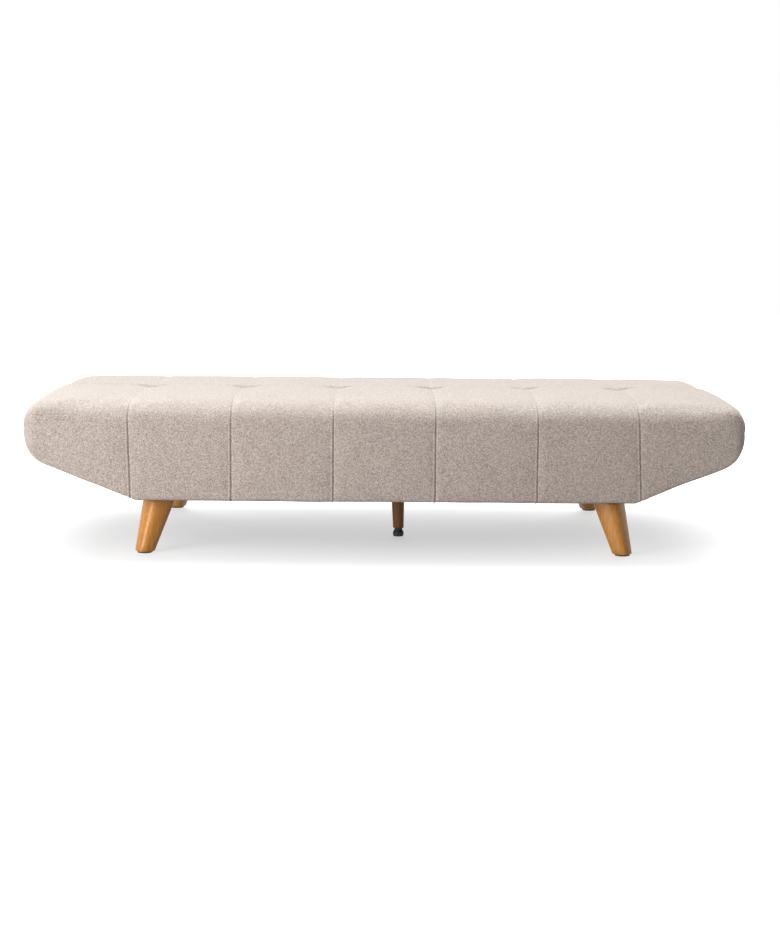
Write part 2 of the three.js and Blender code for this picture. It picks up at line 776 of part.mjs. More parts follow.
// Centre leg: a round taper that leans a little, with a bore for its levelling foot
const { foot: centreFoot, top: centreTop } = centreAxis;
const studTop = centreLegLift + levellerStudLength;
const levellerBore = puck(
  centreFoot.x,
  centreFoot.y,
  levellerStudRadius + boreClearance,
  [centreLegLift - cutOverrun, studTop + boreClearance],
  smallRoundSteps,
);
const centreLegBlank = loft([
  legRing(centreAxis, 0, centreLegFootRadius - legEdge, 0, circleSquareness),
  legRing(centreAxis, legEdge / (centreTop.z - centreFoot.z), centreLegFootRadius, 0, circleSquareness),
  legRing(centreAxis, 1, centreLegTopRadius, 0, circleSquareness),
]);
place("centre_leg", cut(centreLegBlank, levellerBore, legBolt(centreAxis, boltBore)), legWood);
place("centre_leg_bolt", legBolt(centreAxis, legBoltRadius), steel);

// Levelling foot: a rounded pad, a neck and a threaded stud in the leg
const neckTop = centreLegLift - fitGap;
const levellerOutline = [
  [0, 0],
  [levellerRadius, 0],
  [levellerBulge, levellerBulgeHeight],
  [levellerNeckRadius, neckTop - levellerNeckHeight],
  [levellerNeckRadius, neckTop],
  [levellerStudRadius, neckTop],
  [levellerStudRadius, studTop],
  [0, studTop],
];
place("centre_levelling_foot", turned(levellerOutline, centreFoot.x, centreFoot.y, roundSteps), blackSteel);

// Black cloth that closes the seat's underside, cut out round the leg plates and the centre leg
const clothZ = [groundClearance + clothLift, groundClearance + clothLift + clothThickness];
const clothHalf = hemHalfWidth(seat) - fitGap;
const clothTools = legs
  .filter((leg) => !leg.rear)
  .map(({ axis }) => legPlate(axis, legPlateSize + 2 * clothCutClearance));
const clothCutZ = [clothZ[0] - cutOverrun, clothZ[1] + cutOverrun];
const clothCutRadius = centreLegTopRadius + clothCutClearance;
clothTools.push(puck(centreTop.x, centreTop.y, clothCutRadius, clothCutZ, roundSteps));
const seatClothY = [frontY + coverWall + fitGap, seatRearY - coverWall - fitGap];
const wholeCloth = block([-clothHalf, clothHalf], seatClothY, clothZ);
place("seat_underside_cloth", cut(wholeCloth, ...clothTools), blackCloth);

// Zigzag seat springs: rows from the front board to the rear board, tied by two cross wires
const springY = [seatFrontBoardY + boardThickness / 4, seatRearBoardY + (boardThickness * 3) / 4];
const springZ = boardTop + fitGap + springWire / 2;
const springHalfTurns = Math.max(2, Math.round((2 * (springY[1] - springY[0])) / springPitch));

// Places of rows that stand a spacing apart, evenly about the middle, as far as they fit.
function rowPlaces(spacing, halfWidth) {
  const sideRows = Math.floor((frameHalfLength - boardThickness - halfWidth) / spacing);
  return Array.from({ length: 2 * sideRows + 1 }, (_, i) => (i - sideRows) * spacing);
}

// One zigzag row: straight bars across, joined by short runs along each edge.
function zigzag(x) {
  const step = (springY[1] - springY[0]) / springHalfTurns;
  const points = [];
  for (let i = 0; i < springHalfTurns; i++) {
    const across = i % 2 ? springAmplitude : -springAmplitude;
    const y = springY[0] + i * step;
    points.push([x + across, y + springWire], [x + across, y + step - springWire]);
  }
  const [left, right] = [[], []];
  const half = springWire / 2;
  points.forEach(([px, py], i) => {
    const [ax, ay] = points[Math.max(i - 1, 0)];
    const [bx, by] = points[Math.min(i + 1, points.length - 1)];
    const [inX, inY] = i ? unit(px - ax, py - ay) : unit(bx - px, by - py);
    const [outX, outY] = i + 1 < points.length ? unit(bx - px, by - py) : [inX, inY];
    const [mx, my] = unit(-(inY + outY), inX + outX);
    const reach = half / Math.max(mx * -inY + my * inX, 1 / 2);
    left.push([px + mx * reach, py + my * reach]);
    right.push([px - mx * reach, py - my * reach]);
  });
  const shape = new THREE.Shape([...left, ...right.reverse()].map((p) => new THREE.Vector2(...p)));
  const row = new THREE.ExtrudeGeometry(shape, { depth: springWire, bevelEnabled: false });
  return row.translate(0, 0, springZ - half);
}

// Direction of a flat vector.
function unit(x, y) {
  const length = Math.hypot(x, y);
  return [x / length, y / length];
}

const springPlaces = rowPlaces(springSpacing, springAmplitude);
const springReach = Math.max(...springPlaces) + springAmplitude;
const ties = springTieShares.map((share) => {
  const y = springY[0] + (springY[1] - springY[0]) * share;
  const z = [springZ - springTieWidth / 2, springZ + springTieWidth / 2];
  return block([-springReach, springReach], [y - springTieWidth / 2, y + springTieWidth / 2], z);
});
place("seat_spring_unit", join(...springPlaces.map(zigzag), ...ties), steel);

// Back section
place("back_cover", coverGeometry(back, ...backPockets), cloth);
place("back_foam_pad", foamGeometry(back, ...backPockets), foam);
place("back_lower_board", boatBoard(back, backLowerBoardY, ...backPockets), timber);
place("back_upper_board", boatBoard(back, backUpperBoardY), timber);

// Elastic webbing over the back frame: straps front to back, crossed by straps along the sofa
const webZ = [boardTop + fitGap, boardTop + fitGap + webThickness];
const webY = [backLowerBoardY, backUpperBoardY + boardThickness];
const straps = rowPlaces(webSpacing, webWidth / 2).map((x) =>
  block([x - webWidth / 2, x + webWidth / 2], webY, webZ),
);
const crossStraps = webCrossShares.map((share) => {
  const y = webY[0] + (webY[1] - webY[0]) * share;
  return block([-frameHalfLength, frameHalfLength], [y - webWidth / 2, y + webWidth / 2], webZ);
});
place("back_webbing", cut(join(...straps, ...crossStraps), ...backPockets), webbing);

// Cloth panel that closes the back section underneath, seen from behind when the sofa is up
const panelZ = [backBottom + clothLift, backBottom + clothLift + clothThickness];
const panelHalf = hemHalfWidth(back) - fitGap;
const panelY = [backFrontY + coverWall + fitGap, rearY - coverWall - fitGap];
place("back_underside_panel", block([-panelHalf, panelHalf], panelY, panelZ), cloth);

// Hinge and back frame pieces on each side
const armBore = pivotShankRadius + boreClearance;
const backRailOuter = backArmX - fitGap;
const backRailInner = backRailOuter - backRailWidth;

// Backing plate with two studs and their nuts, which clamps an arm to a rail.
function studPlate(side, studs, innerFace, armOuter) {
  const ys = studs.map(([y]) => y);
  const z = studs[0][1];
  const plateX = [side * (innerFace - fitGap - studPlateThickness), side * (innerFace - fitGap)];
  const y = [Math.min(...ys) - studPlateMargin, Math.max(...ys) + studPlateMargin];
  const nutX = [armOuter + fitGap, armOuter + fitGap + studNutThickness];
  return join(
    block(plateX, y, [z - studPlateMargin, z + studPlateMargin]),
    ...studs.flatMap((stud) => [
      barX(stud, studRadius, side * (innerFace - studPlateThickness), side * (nutX[1] + studEnd), boltSteps),
      barX(stud, studNutRadius, side * nutX[0], side * nutX[1], nutSides),
    ]),
  );
}

// Flat arm from the pivot through its elbow to its end, bored for the studs and the pivot.
function armBlank(side, x, studs, ...extra) {
  const [x0, x1] = [side * x, side * (x + armThickness)];
  return join(
    link(pivot, studs[0], armHalfWidth, x0, x1),
    link(studs[0], studs[1], armHalfWidth, x0, x1),
    barX(pivot, bossRadius, x0, x1, roundSteps),
    ...extra,
  );
}

for (const [name, side] of [["left", -1], ["right", 1]]) {
  const outer = side * hingeOuterX;
  const seatArmOuterX = seatArmX + armThickness;

  // Seat arm, with an ear and a stud that carry the pawl
  const ear = link(pivot, pawlPivot, pawlEarRadius, side * seatArmX, side * seatArmOuterX);
  const pawlStudEnd = hingeOuterX + fitGap + pawlSpringPitch * pawlSpringTurns + pawlSpringWire;
  const pawlStud = barX(pawlPivot, pawlStudRadius, side * seatArmX, side * pawlStudEnd, smallRoundSteps);
  place(
    "hinge_seat_arm_" + name,
    cut(
      armBlank(side, seatArmX, seatStuds, ear, pawlStud),
      ...bores(side, seatArmX, seatArmOuterX, [pivot], armBore, roundSteps),
      ...bores(side, seatArmX, seatArmOuterX, seatStuds, studRadius + boreClearance, boltSteps),
    ),
    steel,
  );

  // Back arm, with its ratchet disc: one notch for each position that the back locks in
  const disc = barX(pivot, ratchetRadius, side * backArmX, outer, 2 * roundSteps);
  const notchReach = ratchetRadius - notchDepth + pawlNoseRadius + notchClearance;
  const notches = notchAngles.map((angle) => atPolar(notchReach, pawlNoseAngle - angle));
  place(
    "hinge_back_arm_" + name,
    cut(
      armBlank(side, backArmX, backStuds, disc),
      ...bores(side, backArmX, hingeOuterX, [pivot], armBore, roundSteps),
      ...bores(side, backArmX, hingeOuterX, backStuds, studRadius + boreClearance, boltSteps),
      ...bores(side, backArmX, hingeOuterX, notches, pawlNoseRadius + notchClearance, smallRoundSteps),
    ),
    steel,
  );

  // Pivot rivet through both arms
  const headIn = [seatArmX - fitGap - pivotHeadThickness, seatArmX - fitGap];
  const headOut = [hingeOuterX + fitGap, hingeOuterX + fitGap + pivotHeadThickness];
  place(
    "hinge_pivot_" + name,
    join(
      barX(pivot, pivotShankRadius, side * headIn[0], side * headOut[1], roundSteps),
      barX(pivot, pivotHeadRadius, side * headIn[0], side * headIn[1], roundSteps),
      barX(pivot, pivotHeadRadius, side * headOut[0], side * headOut[1], roundSteps),
    ),
    steel,
  );

  // Pawl that drops into the ratchet's notches
  const pawlX = [side * backArmX, outer];
  place(
    "hinge_pawl_" + name,
    cut(
      join(
        link(pawlPivot, pawlShoulder, pawlBodyRadius, ...pawlX),
        link(pawlShoulder, pawlNose, pawlNoseRadius, ...pawlX),
        barX(pawlPivot, pawlEyeRadius, ...pawlX, smallRoundSteps),
      ),
      ...bores(side, backArmX, hingeOuterX, [pawlPivot], pawlStudRadius + boreClearance, smallRoundSteps),
    ),
    steel,
  );

  // Torsion spring on the pawl's stud
  const coil = [];
  const coilCount = Math.round(pawlSpringTurns * coilSteps);
  const coilX = hingeOuterX + fitGap + pawlSpringWire / 2;
  const legAngle = Math.atan2(pawlShoulder[1] - pawlPivot[1], pawlShoulder[0] - pawlPivot[0]) + Math.PI / 2;
  for (let i = 0; i <= coilCount; i++) {
    const angle = legAngle + (2 * Math.PI * i) / coilSteps;
    coil.push(
      new THREE.Vector3(
        side * (coilX + (pawlSpringPitch * i) / coilSteps),
        pawlPivot[0] + pawlSpringRadius * Math.cos(angle),
        pawlPivot[1] + pawlSpringRadius * Math.sin(angle),
      ),
    );
  }
  for (const [end, inner, add] of [[0, 1, "unshift"], [coil.length - 1, coil.length - 2, "push"]]) {
    const out = coil[end].clone().sub(coil[inner]).setX(0).normalize().multiplyScalar(pawlSpringLeg);
    const tip = coil[end].clone().add(out);
    coil[add](tip);
  }
  place("pawl_spring_" + name, wire(coil, pawlSpringWire / 2, coilSides), steel);

  place("seat_stud_plate_" + name, studPlate(side, seatStuds, beamInnerX, seatArmOuterX), steel);
  place("back_stud_plate_" + name, studPlate(side, backStuds, backRailInner, hingeOuterX), steel);

  // Back frame rails
  const railZ = [backFrameBottom, boardTop - backRailDrop];
  const rail = block([side * backRailInner, side * backRailOuter], betweenBackBoards, railZ);
  const railX = [backRailInner, backRailOuter];
  const railBores = bores(side, ...railX, backStuds, studRadius + boreClearance, boltSteps);
  place("back_hinge_rail_" + name, cut(rail, ...railBores), timber);
  place("back_end_rail_" + name, endRail(side, betweenBackBoards), timber);

  // Rubber rest on the beam
  const bumperZ = [beamTailTop + fitGap, backBottom + clothLift - fitGap];
  const bumper = puck(side * beamX, rearY - bumperSetIn, bumperRadius, bumperZ, smallRoundSteps);
  place("back_rest_bumper_" + name, bumper, rubber);
}

export default sofa;
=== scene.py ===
"""Click clack sofa bed, turned down flat: the looks of every piece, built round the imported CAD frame.

Sizes in the classes are in millimetres, in the CAD's own frame. Meshes are made in metres.
"""

import logging
import math
from collections.abc import Callable, Sequence
from dataclasses import dataclass, field
from enum import Enum

import bpy
import numpy as np
from mathutils import Matrix, Vector


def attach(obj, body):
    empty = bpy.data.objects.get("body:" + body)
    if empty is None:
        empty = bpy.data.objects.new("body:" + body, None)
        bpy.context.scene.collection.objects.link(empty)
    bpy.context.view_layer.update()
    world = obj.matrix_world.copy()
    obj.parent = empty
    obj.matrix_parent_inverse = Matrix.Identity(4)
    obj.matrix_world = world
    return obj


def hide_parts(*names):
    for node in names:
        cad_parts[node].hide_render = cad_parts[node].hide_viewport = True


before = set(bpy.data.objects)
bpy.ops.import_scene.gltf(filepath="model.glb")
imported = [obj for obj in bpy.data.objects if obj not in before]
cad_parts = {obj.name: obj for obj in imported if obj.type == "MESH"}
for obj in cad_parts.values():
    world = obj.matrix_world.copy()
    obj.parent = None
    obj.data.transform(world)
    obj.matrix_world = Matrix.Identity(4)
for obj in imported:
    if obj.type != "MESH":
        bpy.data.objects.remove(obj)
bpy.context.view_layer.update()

LOG = logging.getLogger("sofa_bed")
MM = 0.001
MATHS = "ShaderNodeMath"
NOISE = "ShaderNodeTexNoise"
CELLS = "ShaderNodeTexVoronoi"
WHITE = (1.0, 1.0, 1.0, 1.0)
# Below this, in millimetres, two places are the same
TINY = 1e-6

Array = np.ndarray
Colour = tuple[float, float, float, float]
Faces = list[tuple[int, ...]]
Feeds = dict | Sequence


class Body(Enum):
    """Bodies that the pieces ride on."""

    BASE = "base"
    BACKREST = "backrest"
    LEVELLING_FOOT = "levelling_foot"


class Axis(Enum):
    """Axes along which timber's grain can run."""

    X = 0
    Y = 1
    Z = 2


# Small tools


def linear(code: str) -> Colour:
    """Turns an sRGB hex colour to linear light.

    Args:
        code: six hex digits, such as "BEAEA5".

    Returns:
        Red, green, blue and an alpha of 1.
    """
    parts = [int(code[i : i + 2], 16) / 255 for i in (0, 2, 4)]
    light = [p / 12.92 if p <= 0.04045 else ((p + 0.055) / 1.055) ** 2.4 for p in parts]
    return (*light, 1.0)


def add_node(tree: bpy.types.NodeTree, kind: str, feeds: Feeds = (), **settings: object) -> bpy.types.Node:
    """Adds one node to a tree.

    Args:
        tree: the tree it goes into.
        kind: Blender's name for the node's type.
        feeds: what its inputs get, in order, or by name or number. A socket or a node is linked.
        settings: the node's own properties.

    Returns:
        The new node.
    """
    made = tree.nodes.new(kind)
    for name, value in settings.items():
        setattr(made, name, value)
    for key, value in feeds.items() if isinstance(feeds, dict) else enumerate(feeds):
        if isinstance(value, bpy.types.Node):
            value = value.outputs[0]
        if isinstance(value, bpy.types.NodeSocket):
            tree.links.new(value, made.inputs[key])
        else:
            made.inputs[key].default_value = value
    return made


def seen_directly(tree: bpy.types.NodeTree) -> bpy.types.Node:
    """Adds a value of 1 for what the camera, gloss or glass sees, and 0 for what lights the object.

    Args:
        tree: the tree it goes into.

    Returns:
        The node that gives the value.
    """
    rays = add_node(tree, "ShaderNodeLightPath").outputs
    seen = add_node(tree, MATHS, (rays["Is Camera Ray"], rays["Is Glossy Ray"]), operation="MAXIMUM")
    return add_node(tree, MATHS, (seen, rays["Is Transmission Ray"]), operation="MAXIMUM")


def mesh_object(name: str, points: Array, faces: Sequence, smooth: bool = True) -> bpy.types.Object:
    """Makes a mesh object at the origin from points in millimetres.

    Args:
        name: the object's and the mesh's name.
        points: one row of x, y and z per vertex, in millimetres.
        faces: the vertex numbers of each face, turning outwards.
        smooth: whether the faces are shaded smooth.

    Returns:
        The linked object.
    """
    mesh = bpy.data.meshes.new(name)
    mesh.from_pydata((np.asarray(points, float) * MM).tolist(), [], [list(map(int, f)) for f in faces])
    mesh.validate()
    mesh.polygons.foreach_set("use_smooth", [smooth] * len(mesh.polygons))
    made = bpy.data.objects.new(name, mesh)
    bpy.context.scene.collection.objects.link(made)
    return made


def settle(piece: bpy.types.Object, body: Body, slot: str, *nodes: str) -> None:
    """Puts a finished piece on its body, in the place of CAD nodes, and reports it.

    Args:
        piece: the finished piece.
        body: the body it rides on.
        slot: the name of a material slot; not used.
        nodes: the CAD nodes that it stands for.
    """
    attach(piece, body.value)
    if nodes:
        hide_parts(*nodes)
    LOG.info("made %s on %s", piece.name, body.value)


def evaluated_mesh(piece: bpy.types.Object) -> bpy.types.Mesh:
    """Returns a plain mesh of the piece with its modifiers applied."""
    depsgraph = bpy.context.evaluated_depsgraph_get()
    return bpy.data.meshes.new_from_object(piece.evaluated_get(depsgraph))


# Finishes


@dataclass(frozen=True)
class Finish:
    """A surface finish. Its material is made once and shared."""

    name: str

    def material(self) -> bpy.types.Material:
        """Makes the finish's material on first use.

        Returns:
            The material.
        """
        made = bpy.data.materials.get(self.name)
        if made is None:
            made = bpy.data.materials.new(self.name)
            made.use_nodes = True
            made.node_tree.nodes.clear()
            shader = add_node(made.node_tree, "ShaderNodeBsdfPrincipled", self.inputs(made.node_tree))
            add_node(made.node_tree, "ShaderNodeOutputMaterial", {"Surface": shader})
        return made

    def inputs(self, tree: bpy.types.NodeTree) -> dict:
        """Gives the shader's inputs, and adds their patterns to the tree. Each finish has its own."""
        raise NotImplementedError

    def paint(self, piece: bpy.types.Object) -> None:
        """Covers the whole piece with the finish."""
        piece.data.materials.clear()
        piece.data.materials.append(self.material())


@dataclass(frozen=True)
class HeatherCloth(Finish):
    """Woven polyester upholstery cloth in a heathered beige, brushed soft.

    Its yarns are spun from lighter and darker fibres, so close up it is speckled, and from a few metres it
    has a fine grain. The short nap catches light at grazing angles. The yarns are drawn as coarse as they
    need to be to show. The furrows between the yarns are darkened in the colour: painted shade.
    """

    tones: tuple[str, ...] = ("8C7C73", "BBABA2", "DDD0C6")
    tone_shares: tuple[float, ...] = (0.22, 0.55, 0.9)
    yarn_mm: float = 2.3
    fleck_mm: float = 2.1
    fuzz_mm: float = 1.6
    shade_mm: float = 150.0
    bump_mm: float = 0.9
    nap: str = "F4EFEA"

    def inputs(self, tree: bpy.types.NodeTree) -> dict:
        """Weaves the cloth on the piece's own UV map, whose units are metres along the cloth.

        Args:
            tree: the material's tree.

        Returns:
            The shader's inputs.
        """
        uv = add_node(tree, "ShaderNodeUVMap", uv_map="cloth")
        yarns = add_node(tree, "ShaderNodeVectorMath", {0: uv, 3: 1 / (self.yarn_mm * MM)}, operation="SCALE")
        crossing = add_node(tree, "ShaderNodeTexChecker", {"Vector": yarns, "Scale": 1.0}).outputs["Fac"]
        other = add_node(tree, MATHS, (1.0, crossing), operation="SUBTRACT")
        ridges = []
        parts = add_node(tree, "ShaderNodeSeparateXYZ", [yarns]).outputs
        for along, shows in ((parts[0], crossing), (parts[1], other)):
            turn = add_node(tree, MATHS, (along, math.pi), operation="MULTIPLY")
            wave = add_node(tree, MATHS, [turn], operation="SINE")
            ridge = add_node(tree, MATHS, [wave], operation="ABSOLUTE")
            ridges.append(add_node(tree, MATHS, (ridge, shows), operation="MULTIPLY"))
        weave = add_node(tree, MATHS, ridges, operation="ADD")
        flecks = add_node(tree, CELLS, {"Vector": uv, "Scale": 1 / (self.fleck_mm * MM)})
        tone = add_node(tree, "ShaderNodeSeparateColor", [flecks.outputs["Color"]])
        fuzz = add_node(tree, NOISE, {"Vector": uv, "Scale": 1 / (self.fuzz_mm * MM), "Detail": 2.0})
        fine = add_node(tree, MATHS, (fuzz, 0.6), operation="MULTIPLY")
        speckle = add_node(tree, MATHS, (tone, 0.55, fine), operation="MULTIPLY_ADD")
        ramp = add_node(tree, "ShaderNodeValToRGB", [speckle])
        stops = ramp.color_ramp.elements
        stops.new(self.tone_shares[1])
        for stop, share, code in zip(stops, self.tone_shares, self.tones):
            stop.position = share
            stop.color = linear(code)
        shade = add_node(tree, NOISE, {"Vector": uv, "Scale": 1 / (self.shade_mm * MM), "Detail": 2.0})
        worn = add_node(tree, MATHS, (shade, 0.07, 0.965), operation="MULTIPLY_ADD")
        # Painted shade: the colour is darkened in the weave's furrows, between the yarns' crests.
        furrow_painted_shade = add_node(tree, MATHS, (weave, 0.1, 0.93), operation="MULTIPLY_ADD")
        tone_and_furrow_shade = add_node(tree, MATHS, (worn, furrow_painted_shade), operation="MULTIPLY")
        grey = add_node(tree, "ShaderNodeCombineColor", (tone_and_furrow_shade, tone_and_furrow_shade, tone_and_furrow_shade))
        feeds = {0: 1.0, 6: ramp, 7: grey}
        colour = add_node(tree, "ShaderNodeMix", feeds, data_type="RGBA", blend_type="MULTIPLY").outputs[2]
        fibres = add_node(tree, MATHS, (speckle, 0.8), operation="MULTIPLY")
        pile = add_node(tree, MATHS, (weave, 0.55, fibres), operation="MULTIPLY_ADD")
        feeds = {"Strength": 0.55, "Distance": self.bump_mm * MM, "Height": pile}
        bump = add_node(tree, "ShaderNodeBump", feeds)
        return {"Base Color": colour, "Normal": bump, "Roughness": 0.95, "Specular IOR Level": 0.25,
                "Sheen Weight": 0.5, "Sheen Roughness": 0.55, "Sheen Tint": linear(self.nap)}


@dataclass(frozen=True)
class Plain(Finish):
    """A finish of one colour broken by fine grain, for small parts.

    The grain's two tones and the bump are what tell moulded, painted and plated parts apart.
    """

    tone: str
    second: str
    grain_mm: float = 1.0
    bump_mm: float = 0.05
    roughness: float = 0.5
    roughness_spread: float = 0.1
    metallic: float = 0.0
    cells: bool = False

    def inputs(self, tree: bpy.types.NodeTree) -> dict:
        """Breaks the colour, the roughness and the surface with the same grain.

        Args:
            tree: the material's tree.

        Returns:
            The shader's inputs.
        """
        place = add_node(tree, "ShaderNodeTexCoord").outputs["Object"]
        feeds = {"Vector": place, "Scale": 1 / (self.grain_mm * MM)}
        if not self.cells:
            feeds["Detail"] = 4.0
        grain = add_node(tree, CELLS if self.cells else NOISE, feeds)
        tones = {0: grain, 6: linear(self.tone), 7: linear(self.second)}
        colour = add_node(tree, "ShaderNodeMix", tones, data_type="RGBA").outputs[2]
        smoothest = self.roughness - self.roughness_spread / 2
        rough = add_node(tree, MATHS, (grain, self.roughness_spread, smoothest), operation="MULTIPLY_ADD")
        feeds = {"Strength": 0.6, "Distance": self.bump_mm * MM, "Height": grain}
        bump = add_node(tree, "ShaderNodeBump", feeds)
        return {"Base Color": colour, "Roughness": rough, "Normal": bump, "Metallic": self.metallic}


@dataclass(frozen=True)
class Wood(Finish):
    """Solid wood, planed, and oiled or lacquered.

    The grain runs along one axis as long streaks, with darker latewood lines between them.
    """

    early: str
    late: str
    grain: Axis = Axis.Z
    ring_mm: float = 6.0
    stretch: float = 14.0
    roughness: float = 0.6
    coat: float = 0.0
    coat_roughness: float = 0.32
    bump_mm: float = 0.15
    lines_per_ring: float = 5.5

    def inputs(self, tree: bpy.types.NodeTree) -> dict:
        """Draws streaks that are long along the grain and a ring's width across it.

        Args:
            tree: the material's tree.

        Returns:
            The shader's inputs.
        """
        place = add_node(tree, "ShaderNodeTexCoord").outputs["Object"]
        scale = [1.0, 1.0, 1.0]
        scale[self.grain.value] = 1 / self.stretch
        drawn = add_node(tree, "ShaderNodeMapping", {"Vector": place, "Scale": scale})
        size = 1 / (self.ring_mm * MM)
        rings = add_node(tree, NOISE, {"Vector": drawn, "Scale": size * 0.5, "Detail": 3.0})
        pores = add_node(tree, NOISE, {"Vector": drawn, "Scale": size * 4, "Detail": 2.0})
        turn = add_node(tree, MATHS, (rings, self.lines_per_ring * math.pi), operation="MULTIPLY")
        wave = add_node(tree, MATHS, [turn], operation="SINE")
        lines = add_node(tree, MATHS, [wave], operation="ABSOLUTE")
        late = add_node(tree, MATHS, (lines, 0.5), operation="MULTIPLY")
        share = add_node(tree, MATHS, (pores, 0.45, late), operation="MULTIPLY_ADD")
        tones = {0: share, 6: linear(self.early), 7: linear(self.late)}
        colour = add_node(tree, "ShaderNodeMix", tones, data_type="RGBA").outputs[2]
        feeds = {"Strength": 0.4, "Distance": self.bump_mm * MM, "Height": pores}
        bump = add_node(tree, "ShaderNodeBump", feeds)
        return {"Base Color": colour, "Normal": bump, "Roughness": self.roughness, "Coat Weight": self.coat,
                "Coat Roughness": self.coat_roughness}


@dataclass(frozen=True)
class PaleFloor(Finish):
    """Matt floor, grey for light. A glow that only the camera sees turns it white and keeps a pale shadow.
    The glow is weaker in an oval round the sofa: painted shade round the sofa's shadow.
    """

    grey: float = 0.3
    glow: float = 0.49
    glow_near: float = 240.0
    glow_far: float = 2000.0
    painted_shade_oval: tuple[float, float, float] = (0.7, 1.72, 1.0)

    def inputs(self, tree: bpy.types.NodeTree) -> dict:
        """Lets the glow rise in an oval round the sofa, leaving the floor near the sofa darker: painted
        shade.

        Args:
            tree: the material's tree.

        Returns:
            The shader's inputs.
        """
        place = add_node(tree, "ShaderNodeTexCoord").outputs["Object"]
        oval = add_node(tree, "ShaderNodeVectorMath", (place, self.painted_shade_oval), operation="MULTIPLY")
        away = add_node(tree, "ShaderNodeVectorMath", [oval], operation="LENGTH").outputs["Value"]
        feeds = {"Value": away, "From Min": self.glow_near * MM, "From Max": self.glow_far * MM,
                 "To Min": self.glow, "To Max": 1.0}
        # Painted shade: the glow is lower near the sofa, within an oval that follows its footprint.
        glow_with_painted_shade = add_node(tree, "ShaderNodeMapRange", feeds, interpolation_type="SMOOTHSTEP")
        strength = add_node(tree, MATHS, (seen_directly(tree), glow_with_painted_shade), operation="MULTIPLY")
        return {"Base Color": (self.grey, self.grey, self.grey, 1.0), "Roughness": 0.9,
                "Specular IOR Level": 0.1, "Emission Color": WHITE, "Emission Strength": strength}


# Painted studio floor: matt, so that nothing but the sofa's shadow shows on it. Its camera-only glow is
# weaker round the sofa: painted shade that widens that shadow.
FLOOR = PaleFloor("matt_pale_floor")
# Heathered cloth of the covers, and its sewing thread in the cloth's own colour
CLOTH = HeatherCloth("heather_upholstery_cloth")
THREAD = Plain("polyester_thread", "C6B8AE", "B5A69C", grain_mm=0.5, roughness=0.8)
# Honey-stained beech under a satin lacquer: warm and golden, with a broad soft highlight
LEG_WOOD = Wood("lacquered_beech", "DB942E", "AB6716", ring_mm=5, roughness=0.45, coat=0.26)
# The same beech, its colours darkened as painted shade for the slim support leg under the sofa
SHADE_DARKENED_LEG_WOOD = Wood("beech_darkened_with_painted_shade", "8E5620", "714212", ring_mm=4, roughness=0.5)
# Planed pine, unfinished, as inside any upholstered frame: pale with orange latewood lines
PINE_X = Wood("planed_pine_long", "E3C595", "C08F52", grain=Axis.X, ring_mm=9, stretch=30)
PINE_Y = Wood("planed_pine_cross", "E3C595", "C08F52", grain=Axis.Y, ring_mm=9, stretch=30)
# Open-cell polyurethane foam: cream, dull, pitted all over
FOAM = Plain("polyurethane_foam", "EFE6C8", "D9CDA6", grain_mm=1.6, bump_mm=0.8, roughness=0.95, cells=True)
# Spunbond polypropylene dust cloth: thin, black, faintly dimpled
DUST_CLOTH = Plain("spunbond_dust_cloth", "26272A", "17181A", grain_mm=1.4, bump_mm=0.2, roughness=0.85,
                   cells=True)
# Bright zinc plate: pale grey metal with a slight bloom
ZINC = Plain("zinc_plated_steel", "C6CACF", "A9ADB3", grain_mm=6, bump_mm=0.02, roughness=0.38, metallic=1.0)
# Spring wire with an oily dark scale from hardening
SPRING_WIRE = Plain("oil_hardened_spring_wire", "4A4A4C", "35332F", grain_mm=4, bump_mm=0.03, roughness=0.42,
                    metallic=1.0)
# Black powder coat: satin, with a fine orange peel
HINGE_COAT = Plain("black_powder_coat", "1B1B1D", "232325", grain_mm=0.9, roughness=0.45)
# Black moulded foot, matt
FOOT_BLACK = Plain("black_moulded_foot", "1E1B18", "2B2723", grain_mm=0.8, bump_mm=0.06, roughness=0.6)
# Nylon glide under each leg: dark brown, slightly waxy
GLIDE_NYLON = Plain("brown_nylon", "3B3027", "2C241D", grain_mm=0.8, bump_mm=0.04)
# Moulded rubber rests: matt black
RUBBER = Plain("moulded_rubber", "1A1A1A", "242424", grain_mm=0.7, bump_mm=0.08, roughness=0.82)
# Elastic webbing of polypropylene yarn over rubber: ribbed, grey-brown
WEBBING = Plain("elastic_webbing", "6E6358", "4C443C", grain_mm=2.2, bump_mm=0.5, roughness=0.9, cells=True)


# Camera, light and floor


